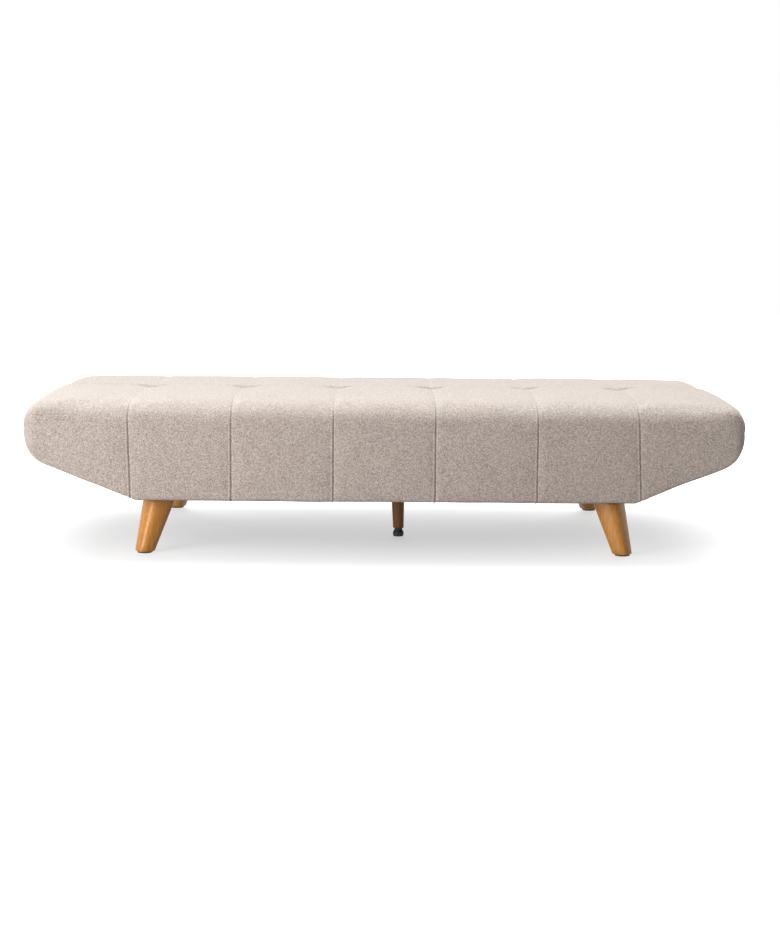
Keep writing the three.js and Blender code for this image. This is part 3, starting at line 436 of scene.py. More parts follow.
@dataclass
class Studio:
    """Camera at the photograph's viewing angle, plain soft light, and a pale floor."""

    camera_place: tuple[float, float, float] = (-19.6, -5530.0, 908.5)
    camera_down_deg: float = 7.508
    camera_right_deg: float = 0.397
    camera_roll_deg: float = 0.46
    focal_pixels: float = 1843.8
    image_width: int = 780
    sensor_mm: float = 36.0
    farthest_seen: float = 100000.0
    floor_radius: float = 14000.0
    floor_drop: float = 0.4
    floor_steps: int = 64
    key_watts: float = 166.0
    key_place: tuple[float, float, float] = (-3000.0, -3300.0, 1250.0)
    key_aim: tuple[float, float, float] = (0.0, -300.0, 300.0)
    key_size: float = 2600.0
    overhead_strength: float = 5.1
    overhead_tint: tuple[float, float, float] = (0.96, 1.0, 1.0)
    overhead_angle_deg: float = 55.0
    overhead_tilt_deg: float = -35.0
    rear_watts: float = 220.0
    rear_place: tuple[float, float, float] = (0.0, 3000.0, 900.0)
    rear_size: tuple[float, float] = (6000.0, 1600.0)
    fill_strength: float = 0.17

    def aim(self) -> Matrix:
        """Works out how the camera is turned.

        Returns:
            The camera's right, its up and its back, as columns.
        """
        turns = (self.camera_down_deg, self.camera_right_deg, self.camera_roll_deg)
        down, right, roll = (math.radians(turn) for turn in turns)
        ahead = Vector((math.sin(right) * math.cos(down), math.cos(right) * math.cos(down), -math.sin(down)))
        side = Vector((math.cos(right), -math.sin(right), 0.0))
        up = side.cross(ahead)
        tilted = math.cos(roll) * side + math.sin(roll) * up
        upright = math.cos(roll) * up - math.sin(roll) * side
        return Matrix((tilted, upright, -ahead)).transposed()

    def build_camera(self) -> None:
        """Makes the scene's camera."""
        lens = bpy.data.cameras.new("camera")
        lens.sensor_fit = "HORIZONTAL"
        lens.sensor_width = self.sensor_mm
        lens.lens = self.sensor_mm * self.focal_pixels / self.image_width
        lens.clip_end = self.farthest_seen * MM
        camera = bpy.data.objects.new("camera", lens)
        camera.matrix_world = Matrix.Translation(Vector(self.camera_place) * MM) @ self.aim().to_4x4()
        bpy.context.scene.collection.objects.link(camera)
        bpy.context.scene.camera = camera

    def add_light(self, name: str, kind: str, place: Matrix, **settings: object) -> bpy.types.Object:
        """Adds one light.

        Args:
            name: its name.
            kind: Blender's name for its type.
            place: where it stands and how it is turned.
            settings: its own properties.

        Returns:
            The light's object.
        """
        light = bpy.data.lights.new(name, kind)
        for key, value in settings.items():
            setattr(light, key, value)
        made = bpy.data.objects.new(name, light)
        made.matrix_world = place
        bpy.context.scene.collection.objects.link(made)
        return made

    def build_lights(self, floor: bpy.types.Object) -> None:
        """Makes a broad light overhead, a softbox at the left front, and a panel that lights only the floor.

        Args:
            floor: the floor.
        """
        spot = Vector(self.key_place) * MM
        turn = (Vector(self.key_aim) * MM - spot).to_track_quat("-Z", "Y").to_matrix().to_4x4()
        self.add_light("key", "AREA", Matrix.Translation(spot) @ turn, energy=self.key_watts,
                       size=self.key_size * MM)
        tilt = Matrix.Rotation(math.radians(self.overhead_tilt_deg), 4, "X")
        self.add_light("overhead", "SUN", tilt, energy=self.overhead_strength, color=self.overhead_tint,
                       angle=math.radians(self.overhead_angle_deg))
        place = Matrix.Translation(Vector(self.rear_place) * MM) @ Matrix.Rotation(-math.pi / 2, 4, "X")
        wide, tall = (side * MM for side in self.rear_size)
        panel = self.add_light("rear", "AREA", place, energy=self.rear_watts, shape="RECTANGLE", size=wide,
                               size_y=tall)
        panel.visible_camera = False
        floor_only = bpy.data.collections.new("lit_by_rear_panel")
        floor_only.objects.link(floor)
        panel.light_linking.receiver_collection = floor_only

    def build_world(self) -> None:
        """Makes an even fill, which the camera, gloss and glass see as white."""
        world = bpy.data.worlds.new("studio")
        world.use_nodes = True
        tree = world.node_tree
        tree.nodes.clear()
        feeds = (seen_directly(tree), 1.0 - self.fill_strength, self.fill_strength)
        strength = add_node(tree, MATHS, feeds, operation="MULTIPLY_ADD")
        sky = add_node(tree, "ShaderNodeBackground", {"Color": WHITE, "Strength": strength})
        add_node(tree, "ShaderNodeOutputWorld", {"Surface": sky})
        bpy.context.scene.world = world

    def build_floor(self) -> bpy.types.Object:
        """Makes a plain round floor.

        Returns:
            The floor.
        """
        ring = level_ring((0.0, 0.0, -self.floor_drop), self.floor_radius, self.floor_steps)
        floor = mesh_object("floor", ring, [range(self.floor_steps)], smooth=False)
        FLOOR.paint(floor)
        return floor

    def build(self) -> None:
        """Sets up the whole studio."""
        bpy.context.scene.view_settings.view_transform = "Standard"
        self.build_camera()
        self.build_world()
        self.build_lights(self.build_floor())


# Skins over rings and layers


def level_ring(centre: Sequence[float], radius: float, steps: int, squareness: float = 2.0,
               turn: float = 0.0) -> Array:
    """Makes a level ring of points, turning left seen from above.

    Args:
        centre: its middle.
        radius: its radius at the middle of a side.
        steps: how many points it has.
        squareness: 2 for a circle, and more for a rounded square.
        turn: how far it is turned, in radians.

    Returns:
        The ring's points.
    """
    angles = 2 * math.pi * np.arange(steps) / steps
    c, s = np.abs(np.cos(angles)), np.abs(np.sin(angles))
    reach = radius / (c**squareness + s**squareness) ** (1 / squareness)
    x = centre[0] + reach * np.cos(angles + turn)
    y = centre[1] + reach * np.sin(angles + turn)
    return np.stack([x, y, np.full(steps, centre[2])], 1)


def skin(rings: Sequence[Array], poles: Sequence | None = None) -> tuple[Array, Faces]:
    """Skins a row of rings and closes both ends.

    Args:
        rings: rings of points that turn the same way: left, seen from the last ring.
        poles: the middle of the first end and of the last, or nothing to close each with one flat face.

    Returns:
        The points and the faces.
    """
    count = len(rings[0])
    last = (len(rings) - 1) * count
    sides = [(i, (i + 1) % count) for i in range(count)]
    faces = [(r + i, r + j, r + count + j, r + count + i) for r in range(0, last, count) for i, j in sides]
    points = np.concatenate(rings)
    if poles is None:
        return points, [*faces, tuple(range(count))[::-1], tuple(range(last, last + count))]
    foot, top = last + count, last + count + 1
    faces += [face for i, j in sides for face in ((foot, j, i), (top, last + i, last + j))]
    return np.concatenate([points, np.array(poles, float)]), faces


def lathe(name: str, profile: Sequence[tuple[float, float]], centre: tuple[float, float],
          steps: int = 48) -> bpy.types.Object:
    """Turns a profile about an upright line.

    Args:
        name: the piece's name.
        profile: radius and height points, from the axis at the foot to the axis at the top.
        centre: x and y of the line.
        steps: facets round it.

    Returns:
        The closed piece.
    """
    rings = [level_ring((*centre, height), radius, steps) for radius, height in profile[1:-1]]
    return mesh_object(name, *skin(rings, [(*centre, profile[0][1]), (*centre, profile[-1][1])]))


def joined(name: str, parts: Sequence[tuple[Array, Faces]]) -> bpy.types.Object:
    """Makes one flat shaded piece of several sets of points and faces.

    Args:
        name: the piece's name.
        parts: the points and faces of each.

    Returns:
        The piece.
    """
    faces, start = [], 0
    for points, some in parts:
        faces += [tuple(v + start for v in face) for face in some]
        start += len(points)
    return mesh_object(name, np.concatenate([points for points, _ in parts]), faces, smooth=False)


def two_layers(name: str, outer: Array, inner: Array, faces: Faces) -> tuple[bpy.types.Object, Array]:
    """Joins an outer and an inner layer round every opening.

    Args:
        name: the piece's name.
        outer: the outer layer's points.
        inner: the inner layer's points, in the same order.
        faces: faces over the outer layer, turning outwards.

    Returns:
        The closed piece, and the numbers of the points it keeps.
    """
    count = len(outer)
    edges = dict.fromkeys(edge for face in faces for edge in zip(face, (*face[1:], face[0])))
    every = [*faces, *(tuple(v + count for v in face[::-1]) for face in faces)]
    every += [(b, a, a + count, b + count) for a, b in edges if (b, a) not in edges]
    used = np.zeros(2 * count, bool)
    for face in every:
        used[list(face)] = True
    number = np.cumsum(used) - 1
    points = np.concatenate([outer, inner])[used]
    piece = mesh_object(name, points, [[number[v] for v in face] for face in every])
    return piece, np.flatnonzero(used)


# Stitches, staples and wire along lines


def line_tree(name: str, sizes: Sequence[str], shape: Callable) -> bpy.types.GeometryNodeTree:
    """Builds a geometry tree that makes something along lines, the first time it is asked for.

    Args:
        name: the tree's name.
        sizes: the names of its inputs for sizes. It takes Lines and a Material too.
        shape: adds the nodes that shape it, from the tree and its inputs, and returns the last one.

    Returns:
        The tree.
    """
    tree = bpy.data.node_groups.get(name)
    if tree is None:
        tree = bpy.data.node_groups.new(name, "GeometryNodeTree")
        sockets = [("Lines", "INPUT", "Geometry"), *((size, "INPUT", "Float") for size in sizes),
                   ("Material", "INPUT", "Material"), ("Result", "OUTPUT", "Geometry")]
        for label, way, kind in sockets:
            tree.interface.new_socket(label, in_out=way, socket_type="NodeSocket" + kind)
        given = add_node(tree, "NodeGroupInput").outputs
        real = add_node(tree, "GeometryNodeRealizeInstances", [shape(tree, given)])
        smooth = add_node(tree, "GeometryNodeSetShadeSmooth", [real])
        feeds = {"Geometry": smooth, "Material": given["Material"]}
        add_node(tree, "NodeGroupOutput", [add_node(tree, "GeometryNodeSetMaterial", feeds)])
    return tree


def stitch_shape(tree: bpy.types.NodeTree, given: bpy.types.NodeOutputs) -> bpy.types.Node:
    """Adds the nodes that lay a slim rounded stitch at each step along the lines.

    Args:
        tree: the tree.
        given: its inputs: Pitch, Stitch length and Thread radius.

    Returns:
        The node that gives the stitches.
    """
    curve = add_node(tree, "GeometryNodeMeshToCurve", {"Mesh": given["Lines"]})
    feeds = {"Curve": curve, "Length": given["Pitch"]}
    even = add_node(tree, "GeometryNodeResampleCurve", feeds, mode="LENGTH")
    tangent = add_node(tree, "GeometryNodeInputTangent")
    heading = add_node(tree, "FunctionNodeAlignRotationToVector", {"Vector": tangent}, axis="X")
    ball = add_node(tree, "GeometryNodeMeshIcoSphere", {"Radius": 1.0, "Subdivisions": 1})
    half = add_node(tree, MATHS, (given["Stitch length"], 0.5), operation="MULTIPLY")
    size = add_node(tree, "ShaderNodeCombineXYZ", (half, given["Thread radius"], given["Thread radius"]))
    feeds = {"Points": even, "Instance": ball, "Rotation": heading, "Scale": size}
    return add_node(tree, "GeometryNodeInstanceOnPoints", feeds)


def wire_shape(tree: bpy.types.NodeTree, given: bpy.types.NodeOutputs) -> bpy.types.Node:
    """Adds the nodes that sweep a round wire along the lines.

    Args:
        tree: the tree.
        given: its inputs, with the Wire radius.

    Returns:
        The node that gives the wire.
    """
    curve = add_node(tree, "GeometryNodeMeshToCurve", {"Mesh": given["Lines"]})
    feeds = {"Resolution": 10, "Radius": given["Wire radius"]}
    ring = add_node(tree, "GeometryNodeCurvePrimitiveCircle", feeds)
    feeds = {"Curve": curve, "Profile Curve": ring, "Fill Caps": True}
    return add_node(tree, "GeometryNodeCurveToMesh", feeds)


def grow(name: str, lines: Sequence[Array], shape: Callable, finish: Finish,
         **sizes: float) -> bpy.types.Object:
    """Runs a geometry tree over lines and keeps the result as a plain mesh.

    Args:
        name: the piece's name.
        lines: lists of points in millimetres.
        shape: stitch_shape or wire_shape.
        finish: the finish of what grows.
        sizes: the tree's sizes, in millimetres, by the names of its inputs in small letters.

    Returns:
        The piece, with no modifier left.
    """
    labels = {key.capitalize().replace("_", " "): value * MM for key, value in sizes.items()}
    tree = line_tree(shape.__name__, list(labels), shape)
    starts = np.cumsum([0, *(len(line) for line in lines)])
    edges = [(i, i + 1) for a, b in zip(starts[:-1], starts[1:]) for i in range(int(a), int(b) - 1)]
    mesh = bpy.data.meshes.new(name)
    mesh.from_pydata((np.concatenate(lines) * MM).tolist(), edges, [])
    piece = bpy.data.objects.new(name, mesh)
    bpy.context.scene.collection.objects.link(piece)
    modifier = piece.modifiers.new("growth", "NODES")
    modifier.node_group = tree
    sockets = {item.name: item.identifier for item in tree.interface.items_tree if item.in_out == "INPUT"}
    for label, value in {**labels, "Material": finish.material()}.items():
        modifier[sockets[label]] = value
    result = evaluated_mesh(piece)
    piece.modifiers.remove(modifier)
    piece.data = result
    return piece


# Quilted covers


class Run(Enum):
    """Runs of a cushion's outline, in order round the section from the lower front edge."""

    LOW_FRONT = 0
    WALL_FRONT = 1
    ROUND_FRONT = 2
    TOP = 3
    ROUND_REAR = 4
    WALL_REAR = 5
    LOW_REAR = 6
    UNDER = 7


def turned_in(from_end: Array, radius: float) -> Array:
    """How far a rounded corner has turned in, at distances from the end."""
    left = np.maximum(radius - from_end, 0.0)
    return radius - np.sqrt(radius**2 - left**2)


@dataclass
class Quilting:
    """Sizes that both covers share: the sofa's boat shape and its seven sewn channels.

    The last fields shape the dips and lapped creases of the seams, the end seams' lean, the fine
    folds by the right front corner, the gathers beside the seams and the soft swell of the cloth.
    """

    half_length: float = 990.0
    height: float = 425.0
    clearance: float = 154.0
    undercut_start: float = 684.0
    undercut_slope: float = 0.3939
    end_top_radius: float = 43.4
    end_low_radius: float = 100.0
    face_corner_radius: float = 34.0
    lower_edge: float = 10.0
    crown: float = 4.0
    end_crown: float = 3.0
    lift_reach: float = 160.0
    fullest_share: float = 0.96
    channel: float = 280.0
    channels: int = 7
    fine_spacing: float = 14.0
    coarse_spacing: float = 17.5
    end_steps: int = 14
    wall: float = 7.0
    dip: float = 9.0
    pull_spread: float = 62.0
    dip_spread: float = 66.0
    dip_sharpness: float = 1.8
    groove: float = 1.9
    groove_width: float = 1.3
    groove_at: float = 1.2
    lap: float = 1.5
    lap_width: float = 2.4
    lap_at: float = -3.8
    seam_offsets: tuple[float, ...] = (
        -24.0, -15.0, -10.5, -8.0, -6.3, -5.0, -3.6, -2.4, -1.3, -0.3, 0.6, 1.4, 2.4, 3.6, 5.4, 8.5, 14.0,
        23.0)
    askew: tuple[tuple[float, float, float], ...] = ((-700.0, -3.0, 4.5), (700.0, -5.5, 6.5))
    askew_width: float = 60.0
    askew_depth: float = 160.0
    fold_height: float = 1.1
    fold_pitch: float = 11.0
    fold_slant_share: float = 0.06
    fold_place: tuple[float, float] = (962.0, 335.0)
    fold_reach: tuple[float, float] = (16.0, 60.0)
    fold_depth: float = 60.0
    gather_height: float = 0.5
    gather_waves: tuple[float, float] = (34.0, 60.0)
    gather_reach: float = 34.0
    swell: float = 0.8
    swell_waves: tuple[float, float] = (90.0, 420.0)
    calm_from: float = 880.0
    calm_reach: float = 60.0
    calm_share: float = 0.85

    @property
    def seams(self) -> Array:
        """Places of the seams along X."""
        return (np.arange(1, self.channels) - self.channels / 2) * self.channel

    def underside(self, x: Array, flat: float) -> Array:
        """Height of the underside: flat, then along the undercut, then round into the end face.

        Args:
            x: places along the sofa.
            flat: the height of its flat middle.

        Returns:
            One height for each place.
        """
        angle = math.atan(self.undercut_slope)
        lowest = self.clearance + (self.half_length - self.undercut_start) * self.undercut_slope
        tangent = self.end_low_radius * math.tan((math.pi / 2 - angle) / 2)
        across = np.abs(x)
        line = np.maximum(flat, self.clearance + (across - self.undercut_start) * self.undercut_slope)
        run = np.clip(across - (self.half_length - self.end_low_radius), 0.0, self.end_low_radius)
        arc = lowest + tangent - np.sqrt(self.end_low_radius**2 - run**2)
        return np.where(across > self.half_length - tangent * math.cos(angle), arc, line)

    def seam_gap(self, x: Array) -> Array:
        """Signed distance of each x from its nearest seam."""
        gaps = x[..., None] - self.seams
        return np.take_along_axis(gaps, np.abs(gaps).argmin(-1)[..., None], -1)[..., 0]

    def drawn_in(self, x: Array) -> Array:
        """Share of the dip's full depth at each x."""
        return np.maximum(1 - np.abs(self.seam_gap(x)) / self.dip_spread, 0.0) ** self.dip_sharpness

    def pulled_down(self, x: Array) -> Array:
        """Share of a seam's pull on the edge at the split, a round dip between two channels."""
        return np.maximum(1 - (self.seam_gap(x) / self.pull_spread) ** 2, 0.0) ** 1.5

    def crease(self, gap: Array) -> Array:
        """Height of a lapped seam's step at signed distances from it."""
        sunk = -self.groove * np.exp(-(((gap - self.groove_at) / self.groove_width) ** 2))
        return sunk + self.lap * np.exp(-(((gap - self.lap_at) / self.lap_width) ** 2))


def ripples(points: Array, seed: int, shortest: float, longest: float, waves: int = 26) -> Array:
    """Soft uneven height over points in millimetres, about 1 at most, from seeded plane waves.

    Args:
        points: the places, with x, y and z last.
        seed: the seed for the waves' directions and phases.
        shortest: the shortest wavelength.
        longest: the longest wavelength.
        waves: how many waves are added up.

    Returns:
        One height per point.
    """
    chance = np.random.default_rng(seed)
    way = chance.normal(size=(waves, 3))
    way /= np.linalg.norm(way, axis=1, keepdims=True)
    length = np.exp(chance.uniform(math.log(shortest), math.log(longest), waves))
    phase = chance.uniform(0, 2 * math.pi, waves)
    total = np.zeros(points.shape[:-1])
    for w, span, start in zip(way, length, phase):
        total += np.sin(2 * math.pi * (points @ w) / span + start)
    return total / math.sqrt(waves)


@dataclass
class Slot:
    """An opening in a cover: a span of X and a run of rows."""

    left: float
    right: float
    first: tuple[Run, float]
    last: tuple[Run, float]


# How the cloth behaves while it puffs over its wadding
PUFFING = {"quality": 6, "mass": 0.3, "tension_stiffness": 12.0, "compression_stiffness": 12.0,
           "shear_stiffness": 4.0, "bending_stiffness": 0.4, "shrink_min": -0.012, "use_pressure": True,
           "uniform_pressure_force": 3.0, "vertex_group_mass": "pins"}
PUFFING_FRAMES = 18


@dataclass
class Cover:
    """One quilted cushion cover, of cloth over wadding, with its underside open for the frame.

    The draws say how far the seams sink, as shares of the full dip: at the front, at the front and
    the rear edge of the top, on the top itself and at the rear. The crease, the pull and the freedom
    are shares too.
    """

    name: str
    node: str
    body: Body
    front: float
    rear: float
    bottom: float
    front_run: float
    rear_run: float
    front_rise: float
    rear_rise: float
    front_lift: float
    rear_lift: float
    front_draw: float
    top_front_draw: float
    top_rear_draw: float
    rear_draw: float
    hem_half: float
    wall_front_rows: tuple[float, ...]
    wall_rear_rows: tuple[float, ...]
    top_rows: int
    slots: tuple[Slot, ...]
    seed: int
    hem: float
    fill: float = 0.9
    top_draw: float = 0.05
    draw_reach: float = 0.16
    top_crease: float = 0.07
    split_pull: float = 0.0
    pull_reach: float = 0.5
    wall_pull: float = 0.3
    end_share: float = 1.0
    puff: float = 2.4
    top_freedom: float = 0.45
    split_freedom: float = 0.15
    still_swell: float = 0.35
    stitch_pitch: float = 5.2
    stitch_length: float = 3.9
    thread_radius: float = 0.3
    end_panel_offset: float = 3000.0
    quilting: Quilting = field(default_factory=Quilting)
    rows: list[tuple[Run, float]] = field(default_factory=list, init=False)
    corners: list[int] = field(default_factory=lambda: [0], init=False)
    hem_rows: list[int] = field(default_factory=list, init=False)

    def __post_init__(self) -> None:
        """Lays out the rows round the section, the same number on facing sides."""
        start, half = (0.0, 0.1, 0.2, 0.3, 0.4), (0.5, 0.6, 0.7, 0.8, 0.9)
        tops = [i / self.top_rows for i in range(self.top_rows)]
        hem = self.hem / (self.rear - self.front - 2 * self.quilting.lower_edge)
        last = self.top_rows + 4
        inner = [hem + (1 - 2 * hem) * i / last for i in range(last + 1)]
        sides = (
            ((Run.LOW_FRONT, (0.5, 0.75)), (Run.WALL_FRONT, self.wall_front_rows), (Run.ROUND_FRONT, start)),
            ((Run.ROUND_FRONT, half), (Run.TOP, tops), (Run.ROUND_REAR, start)),
            ((Run.ROUND_REAR, half), (Run.WALL_REAR, self.wall_rear_rows), (Run.LOW_REAR, (0.0, 0.25))),
            ((Run.LOW_REAR, (0.5, 0.75)), (Run.UNDER, (0.0, *inner)), (Run.LOW_FRONT, (0.0, 0.25))),
        )
        for side in sides:
            self.rows += [(run, t) for run, shares in side for t in shares]
            self.corners.append(len(self.rows))
        self.hem_rows = [self.rows.index((Run.UNDER, t)) for t in (inner[0], inner[-1])]

    def surface(self, x: Array) -> tuple[Array, Array]:
        """The cover's plain outer surface, before seams.

        Args:
            x: stations along the sofa.

        Returns:
            Points with stations first and rows second, and how far the seams draw each of them in.
        """
        q = self.quilting
        from_end = np.maximum(q.half_length - np.abs(x), 0.0)
        turned = turned_in(from_end, q.face_corner_radius)
        front, rear = self.front + turned, self.rear - turned
        crest = q.height - turned_in(from_end, q.end_top_radius) - q.crown
        bottom = q.underside(x, self.bottom)
        fullest = max(self.front_rise, self.rear_rise) + q.lower_edge
        squeeze = np.minimum((crest - bottom) * q.fullest_share / fullest, 1.0)
        inward = np.clip(from_end / q.lift_reach, 0.0, 1.0)
        inward = inward**2 * (3 - 2 * inward)
        fuller = self.end_share + (1 - self.end_share) * inward
        front_run, front_lift = self.front_run * fuller, self.front_lift * inward
        front_rise, rear_rise = self.front_rise * squeeze * (1 + fuller) / 2, self.rear_rise * squeeze
        low = q.lower_edge * squeeze
        foot = bottom + low
        points = np.zeros((len(x), len(self.rows), 3))
        draws, pulls = np.zeros((2, len(self.rows)))
        for j, (run, t) in enumerate(self.rows):
            if run is Run.LOW_FRONT:
                angle = -math.pi / 2 * (1 + t)
                y, z = front + low * (1 + math.cos(angle)), bottom + low * (1 + math.sin(angle))
                draws[j] = self.front_draw * max(2 * t - 1, 0)
            elif run is Run.WALL_FRONT:
                y, z = front, foot + (crest - front_rise - foot) * t
                draws[j] = self.front_draw
            elif run is Run.ROUND_FRONT:
                angle = math.pi * (1 - t / 2)
                y = front + front_run * (1 + math.cos(angle))
                z = crest + front_lift * t - front_rise * (1 - math.sin(angle))
                draws[j] = self.front_draw + (self.top_front_draw - self.front_draw) * math.sin(angle)
            elif run is Run.TOP:
                y = front + front_run + (rear - self.rear_run - front - front_run) * t
                z = crest + q.crown * 4 * t * (1 - t) + front_lift * (1 - t) + self.rear_lift * t
                draws[j] = self.top_draw
                for draw, away in (self.top_front_draw, t), (self.top_rear_draw, 1 - t):
                    draws[j] += (draw - self.top_draw) * max(1 - away / self.draw_reach, 0) ** 2
                pulls[j] = max(1 - (1 - t) / self.pull_reach, 0) ** 1.5
            elif run is Run.ROUND_REAR:
                angle = math.pi / 2 * (1 - t)
                y = rear - self.rear_run * (1 - math.cos(angle))
                z = crest + self.rear_lift * (1 - t) - rear_rise * (1 - math.sin(angle))
                draws[j] = self.rear_draw + (self.top_rear_draw - self.rear_draw) * math.sin(angle)
                pulls[j] = self.wall_pull + (1 - self.wall_pull) * math.sin(angle)
            elif run is Run.WALL_REAR:
                y, z = rear, crest - rear_rise + (foot - crest + rear_rise) * t
                draws[j] = self.rear_draw
                pulls[j] = self.wall_pull * (1 - t)
            elif run is Run.LOW_REAR:
                angle = -math.pi / 2 * t
                y, z = rear - low * (1 - math.cos(angle)), bottom + low * (1 + math.sin(angle))
                draws[j] = self.rear_draw * max(1 - 2 * t, 0)
            else:
                y, z = rear - low + (front - rear + 2 * low) * t, bottom
            points[:, j] = np.stack([x, np.broadcast_to(y, x.shape), np.broadcast_to(z, x.shape)], -1)
        drawn = q.dip * q.drawn_in(x)[:, None] * draws
        return points, drawn + self.split_pull * q.pulled_down(x)[:, None] * pulls

    def stations(self, spacing: float, fine: bool) -> Array:
        """X places of the cross-sections.

        Args:
            spacing: the plain distance between them.
            fine: whether seams, slots and hems get places of their own.

        Returns:
            The places, rising.
        """
        q = self.quilting
        reach = q.half_length - q.end_low_radius
        ends = reach + q.end_low_radius * np.cos(np.linspace(0, math.pi / 2, q.end_steps))
        exact = [*ends, *-ends, *q.seams]
        if fine:
            exact += [seam + offset for seam in q.seams for offset in q.seam_offsets]
            exact += [place for slot in self.slots for place in (slot.left, slot.right)]
            exact += [-self.hem_half, self.hem_half]
        exact = np.unique(np.round(exact, 3))
        steps = int(round(q.channel / spacing))
        plain = np.arange(-4 * steps, 4 * steps + 1) * q.channel / steps + q.channel / 2
        plain = plain[np.abs(plain) < reach]
        clear = np.array([np.abs(exact - place).min() > spacing * 0.3 for place in plain])
        return np.sort(np.concatenate([exact, plain[clear]]))

    def cap(self, ring: Array) -> Array:
        """Fills a closed ring of rows with a grid that meets all four sides.

        Args:
            ring: the ring's points, one for each row.

        Returns:
            The grid, front to rear first and bottom to top second.
        """
        c = self.corners
        front = ring[c[0] : c[1] + 1]
        top = ring[c[1] : c[2] + 1]
        rear = ring[c[2] : c[3] + 1][::-1]
        under = np.concatenate([ring[c[3] : c[4]], ring[:1]])[::-1]
        a = np.linspace(0, 1, len(top))[:, None, None]
        b = np.linspace(0, 1, len(front))[None, :, None]
        across = (1 - a) * front[None] + a * rear[None]
        along = (1 - b) * under[:, None] + b * top[:, None]
        low = (1 - a) * under[0] + a * under[-1]
        high = (1 - a) * top[0] + a * top[-1]
        return across + along - (1 - b) * low - b * high

    def cap_rows(self) -> dict[tuple[int, int], int]:
        """Finds the row at each cell on a cap grid's border.

        Returns:
            The row numbers, by place in the grid.
        """
        c = self.corners
        wide, tall = c[2] - c[1], c[1] - c[0]
        border = {}
        for b in range(tall + 1):
            border[0, b] = b
            border[wide, b] = c[3] - b
        for a in range(wide + 1):
            border[a, tall] = c[1] + a
            border[a, 0] = (c[4] - a) % len(self.rows)
        return border

    def topology(self, x: Array, is_hole: Callable[[int, int], bool]) -> tuple[Faces, dict, int]:
        """Faces of the outer surface, over body vertices first and the two caps' after them.

        Args:
            x: the stations.
            is_hole: whether the face at a station and a row is left out.

        Returns:
            The faces, each cap grid's vertex numbers, and the number of vertices.
        """
        rows = len(self.rows)
        faces = []
        for i in range(len(x) - 1):
            for j in range(rows):
                if not is_hole(i, j):
                    k = (j + 1) % rows
                    faces.append((i * rows + j, (i + 1) * rows + j, (i + 1) * rows + k, i * rows + k))
        border = self.cap_rows()
        wide, tall = self.corners[2] - self.corners[1], self.corners[1]
        total = len(x) * rows
        grids = {}
        for station, flip in ((0, False), (len(x) - 1, True)):
            grid = np.zeros((wide + 1, tall + 1), int)
            for a, b in np.ndindex(grid.shape):
                if (a, b) in border:
                    grid[a, b] = station * rows + border[a, b]
                else:
                    grid[a, b] = total
                    total += 1
            for a, b in np.ndindex(wide, tall):
                quad = (grid[a, b], grid[a, b + 1], grid[a + 1, b + 1], grid[a + 1, b])
                faces.append(quad[::-1] if flip else quad)
            grids[station] = grid
        return faces, grids, total

    def flatten(self, body: Array, grids: dict, total: int) -> Array:
        """Puts values at the body's points and at the caps' inner points in one list of vertices.

        Args:
            body: the values, with stations first and rows second.
            grids: each cap grid's vertex numbers.
            total: the number of vertices.

        Returns:
            The values, one row for each vertex.
        """
        points = np.zeros((total, body.shape[-1]))
        points[: body.shape[0] * body.shape[1]] = body.reshape(-1, body.shape[-1])
        for station, grid in grids.items():
            points[grid[1:-1, 1:-1]] = self.cap(body[station])[1:-1, 1:-1]
        return points

    def normals(self, body: Array) -> Array:
        """Finds the outward direction at each body point.

        Args:
            body: the points, with stations first and rows second.

        Returns:
            The directions, in the same order.
        """
        along = np.gradient(body, axis=0)
        around = np.roll(body, -1, axis=1) - np.roll(body, 1, axis=1)
        out = np.cross(along, around)
        return out / np.maximum(np.linalg.norm(out, axis=-1, keepdims=True), 1e-9)

    def holes(self, x: Array) -> Callable[[int, int], bool]:
        """Finds which faces are left out: the open underside and the slots.

        Args:
            x: the stations.

        Returns:
            A test of a station and a row.
        """
        middle = (x[1:] + x[:-1]) / 2
        spans = [(-self.hem_half, self.hem_half, *self.hem_rows)]
        for slot in self.slots:
            spans.append((slot.left, slot.right, self.rows.index(slot.first), self.rows.index(slot.last)))

        def is_hole(i: int, j: int) -> bool:
            """Whether the face at station i and row j is left out."""
            return any(a < middle[i] < b and first <= j < last for a, b, first, last in spans)

        return is_hole

    def relax(self) -> tuple[Array, Array]:
        """Lets the cover's cloth puff over its wadding by cloth simulation.

        Returns:
            The coarse stations, and how far each point moved, with stations first and rows second.
        """
        x = self.stations(self.quilting.coarse_spacing, fine=False)
        body, dip = self.surface(x)
        body = body - self.normals(body) * dip[..., None]
        faces, grids, total = self.topology(x, lambda i, j: False)
        rest = self.flatten(body, grids, total)
        cloth = mesh_object(self.name + "_relaxing", rest, faces)
        rows = len(self.rows)
        sewn = np.abs(self.quilting.seam_gap(x)) < 1.0
        tacked = [run in (Run.UNDER, Run.LOW_FRONT, Run.LOW_REAR) for run, _ in self.rows]
        held = np.flatnonzero(sewn[:, None] | np.array(tacked))
        cloth.vertex_groups.new(name="pins").add(held.tolist(), 1.0, "REPLACE")
        sheet = cloth.modifiers.new("cloth", "CLOTH")
        for key, value in PUFFING.items():
            setattr(sheet.settings, key, value)
        sheet.settings.effector_weights.gravity = 0.0
        sheet.collision_settings.use_collision = False
        sheet.point_cache.frame_start, sheet.point_cache.frame_end = 1, PUFFING_FRAMES
        scene = bpy.context.scene
        for frame in range(1, PUFFING_FRAMES + 1):
            scene.frame_set(frame)
        result = evaluated_mesh(cloth)
        moved = np.zeros(len(result.vertices) * 3)
        result.vertices.foreach_get("co", moved)
        moved = moved.reshape(-1, 3) / MM - rest
        scene.frame_set(1)
        bpy.data.objects.remove(cloth)
        return x, moved[: len(x) * rows].reshape(len(x), rows, 3)

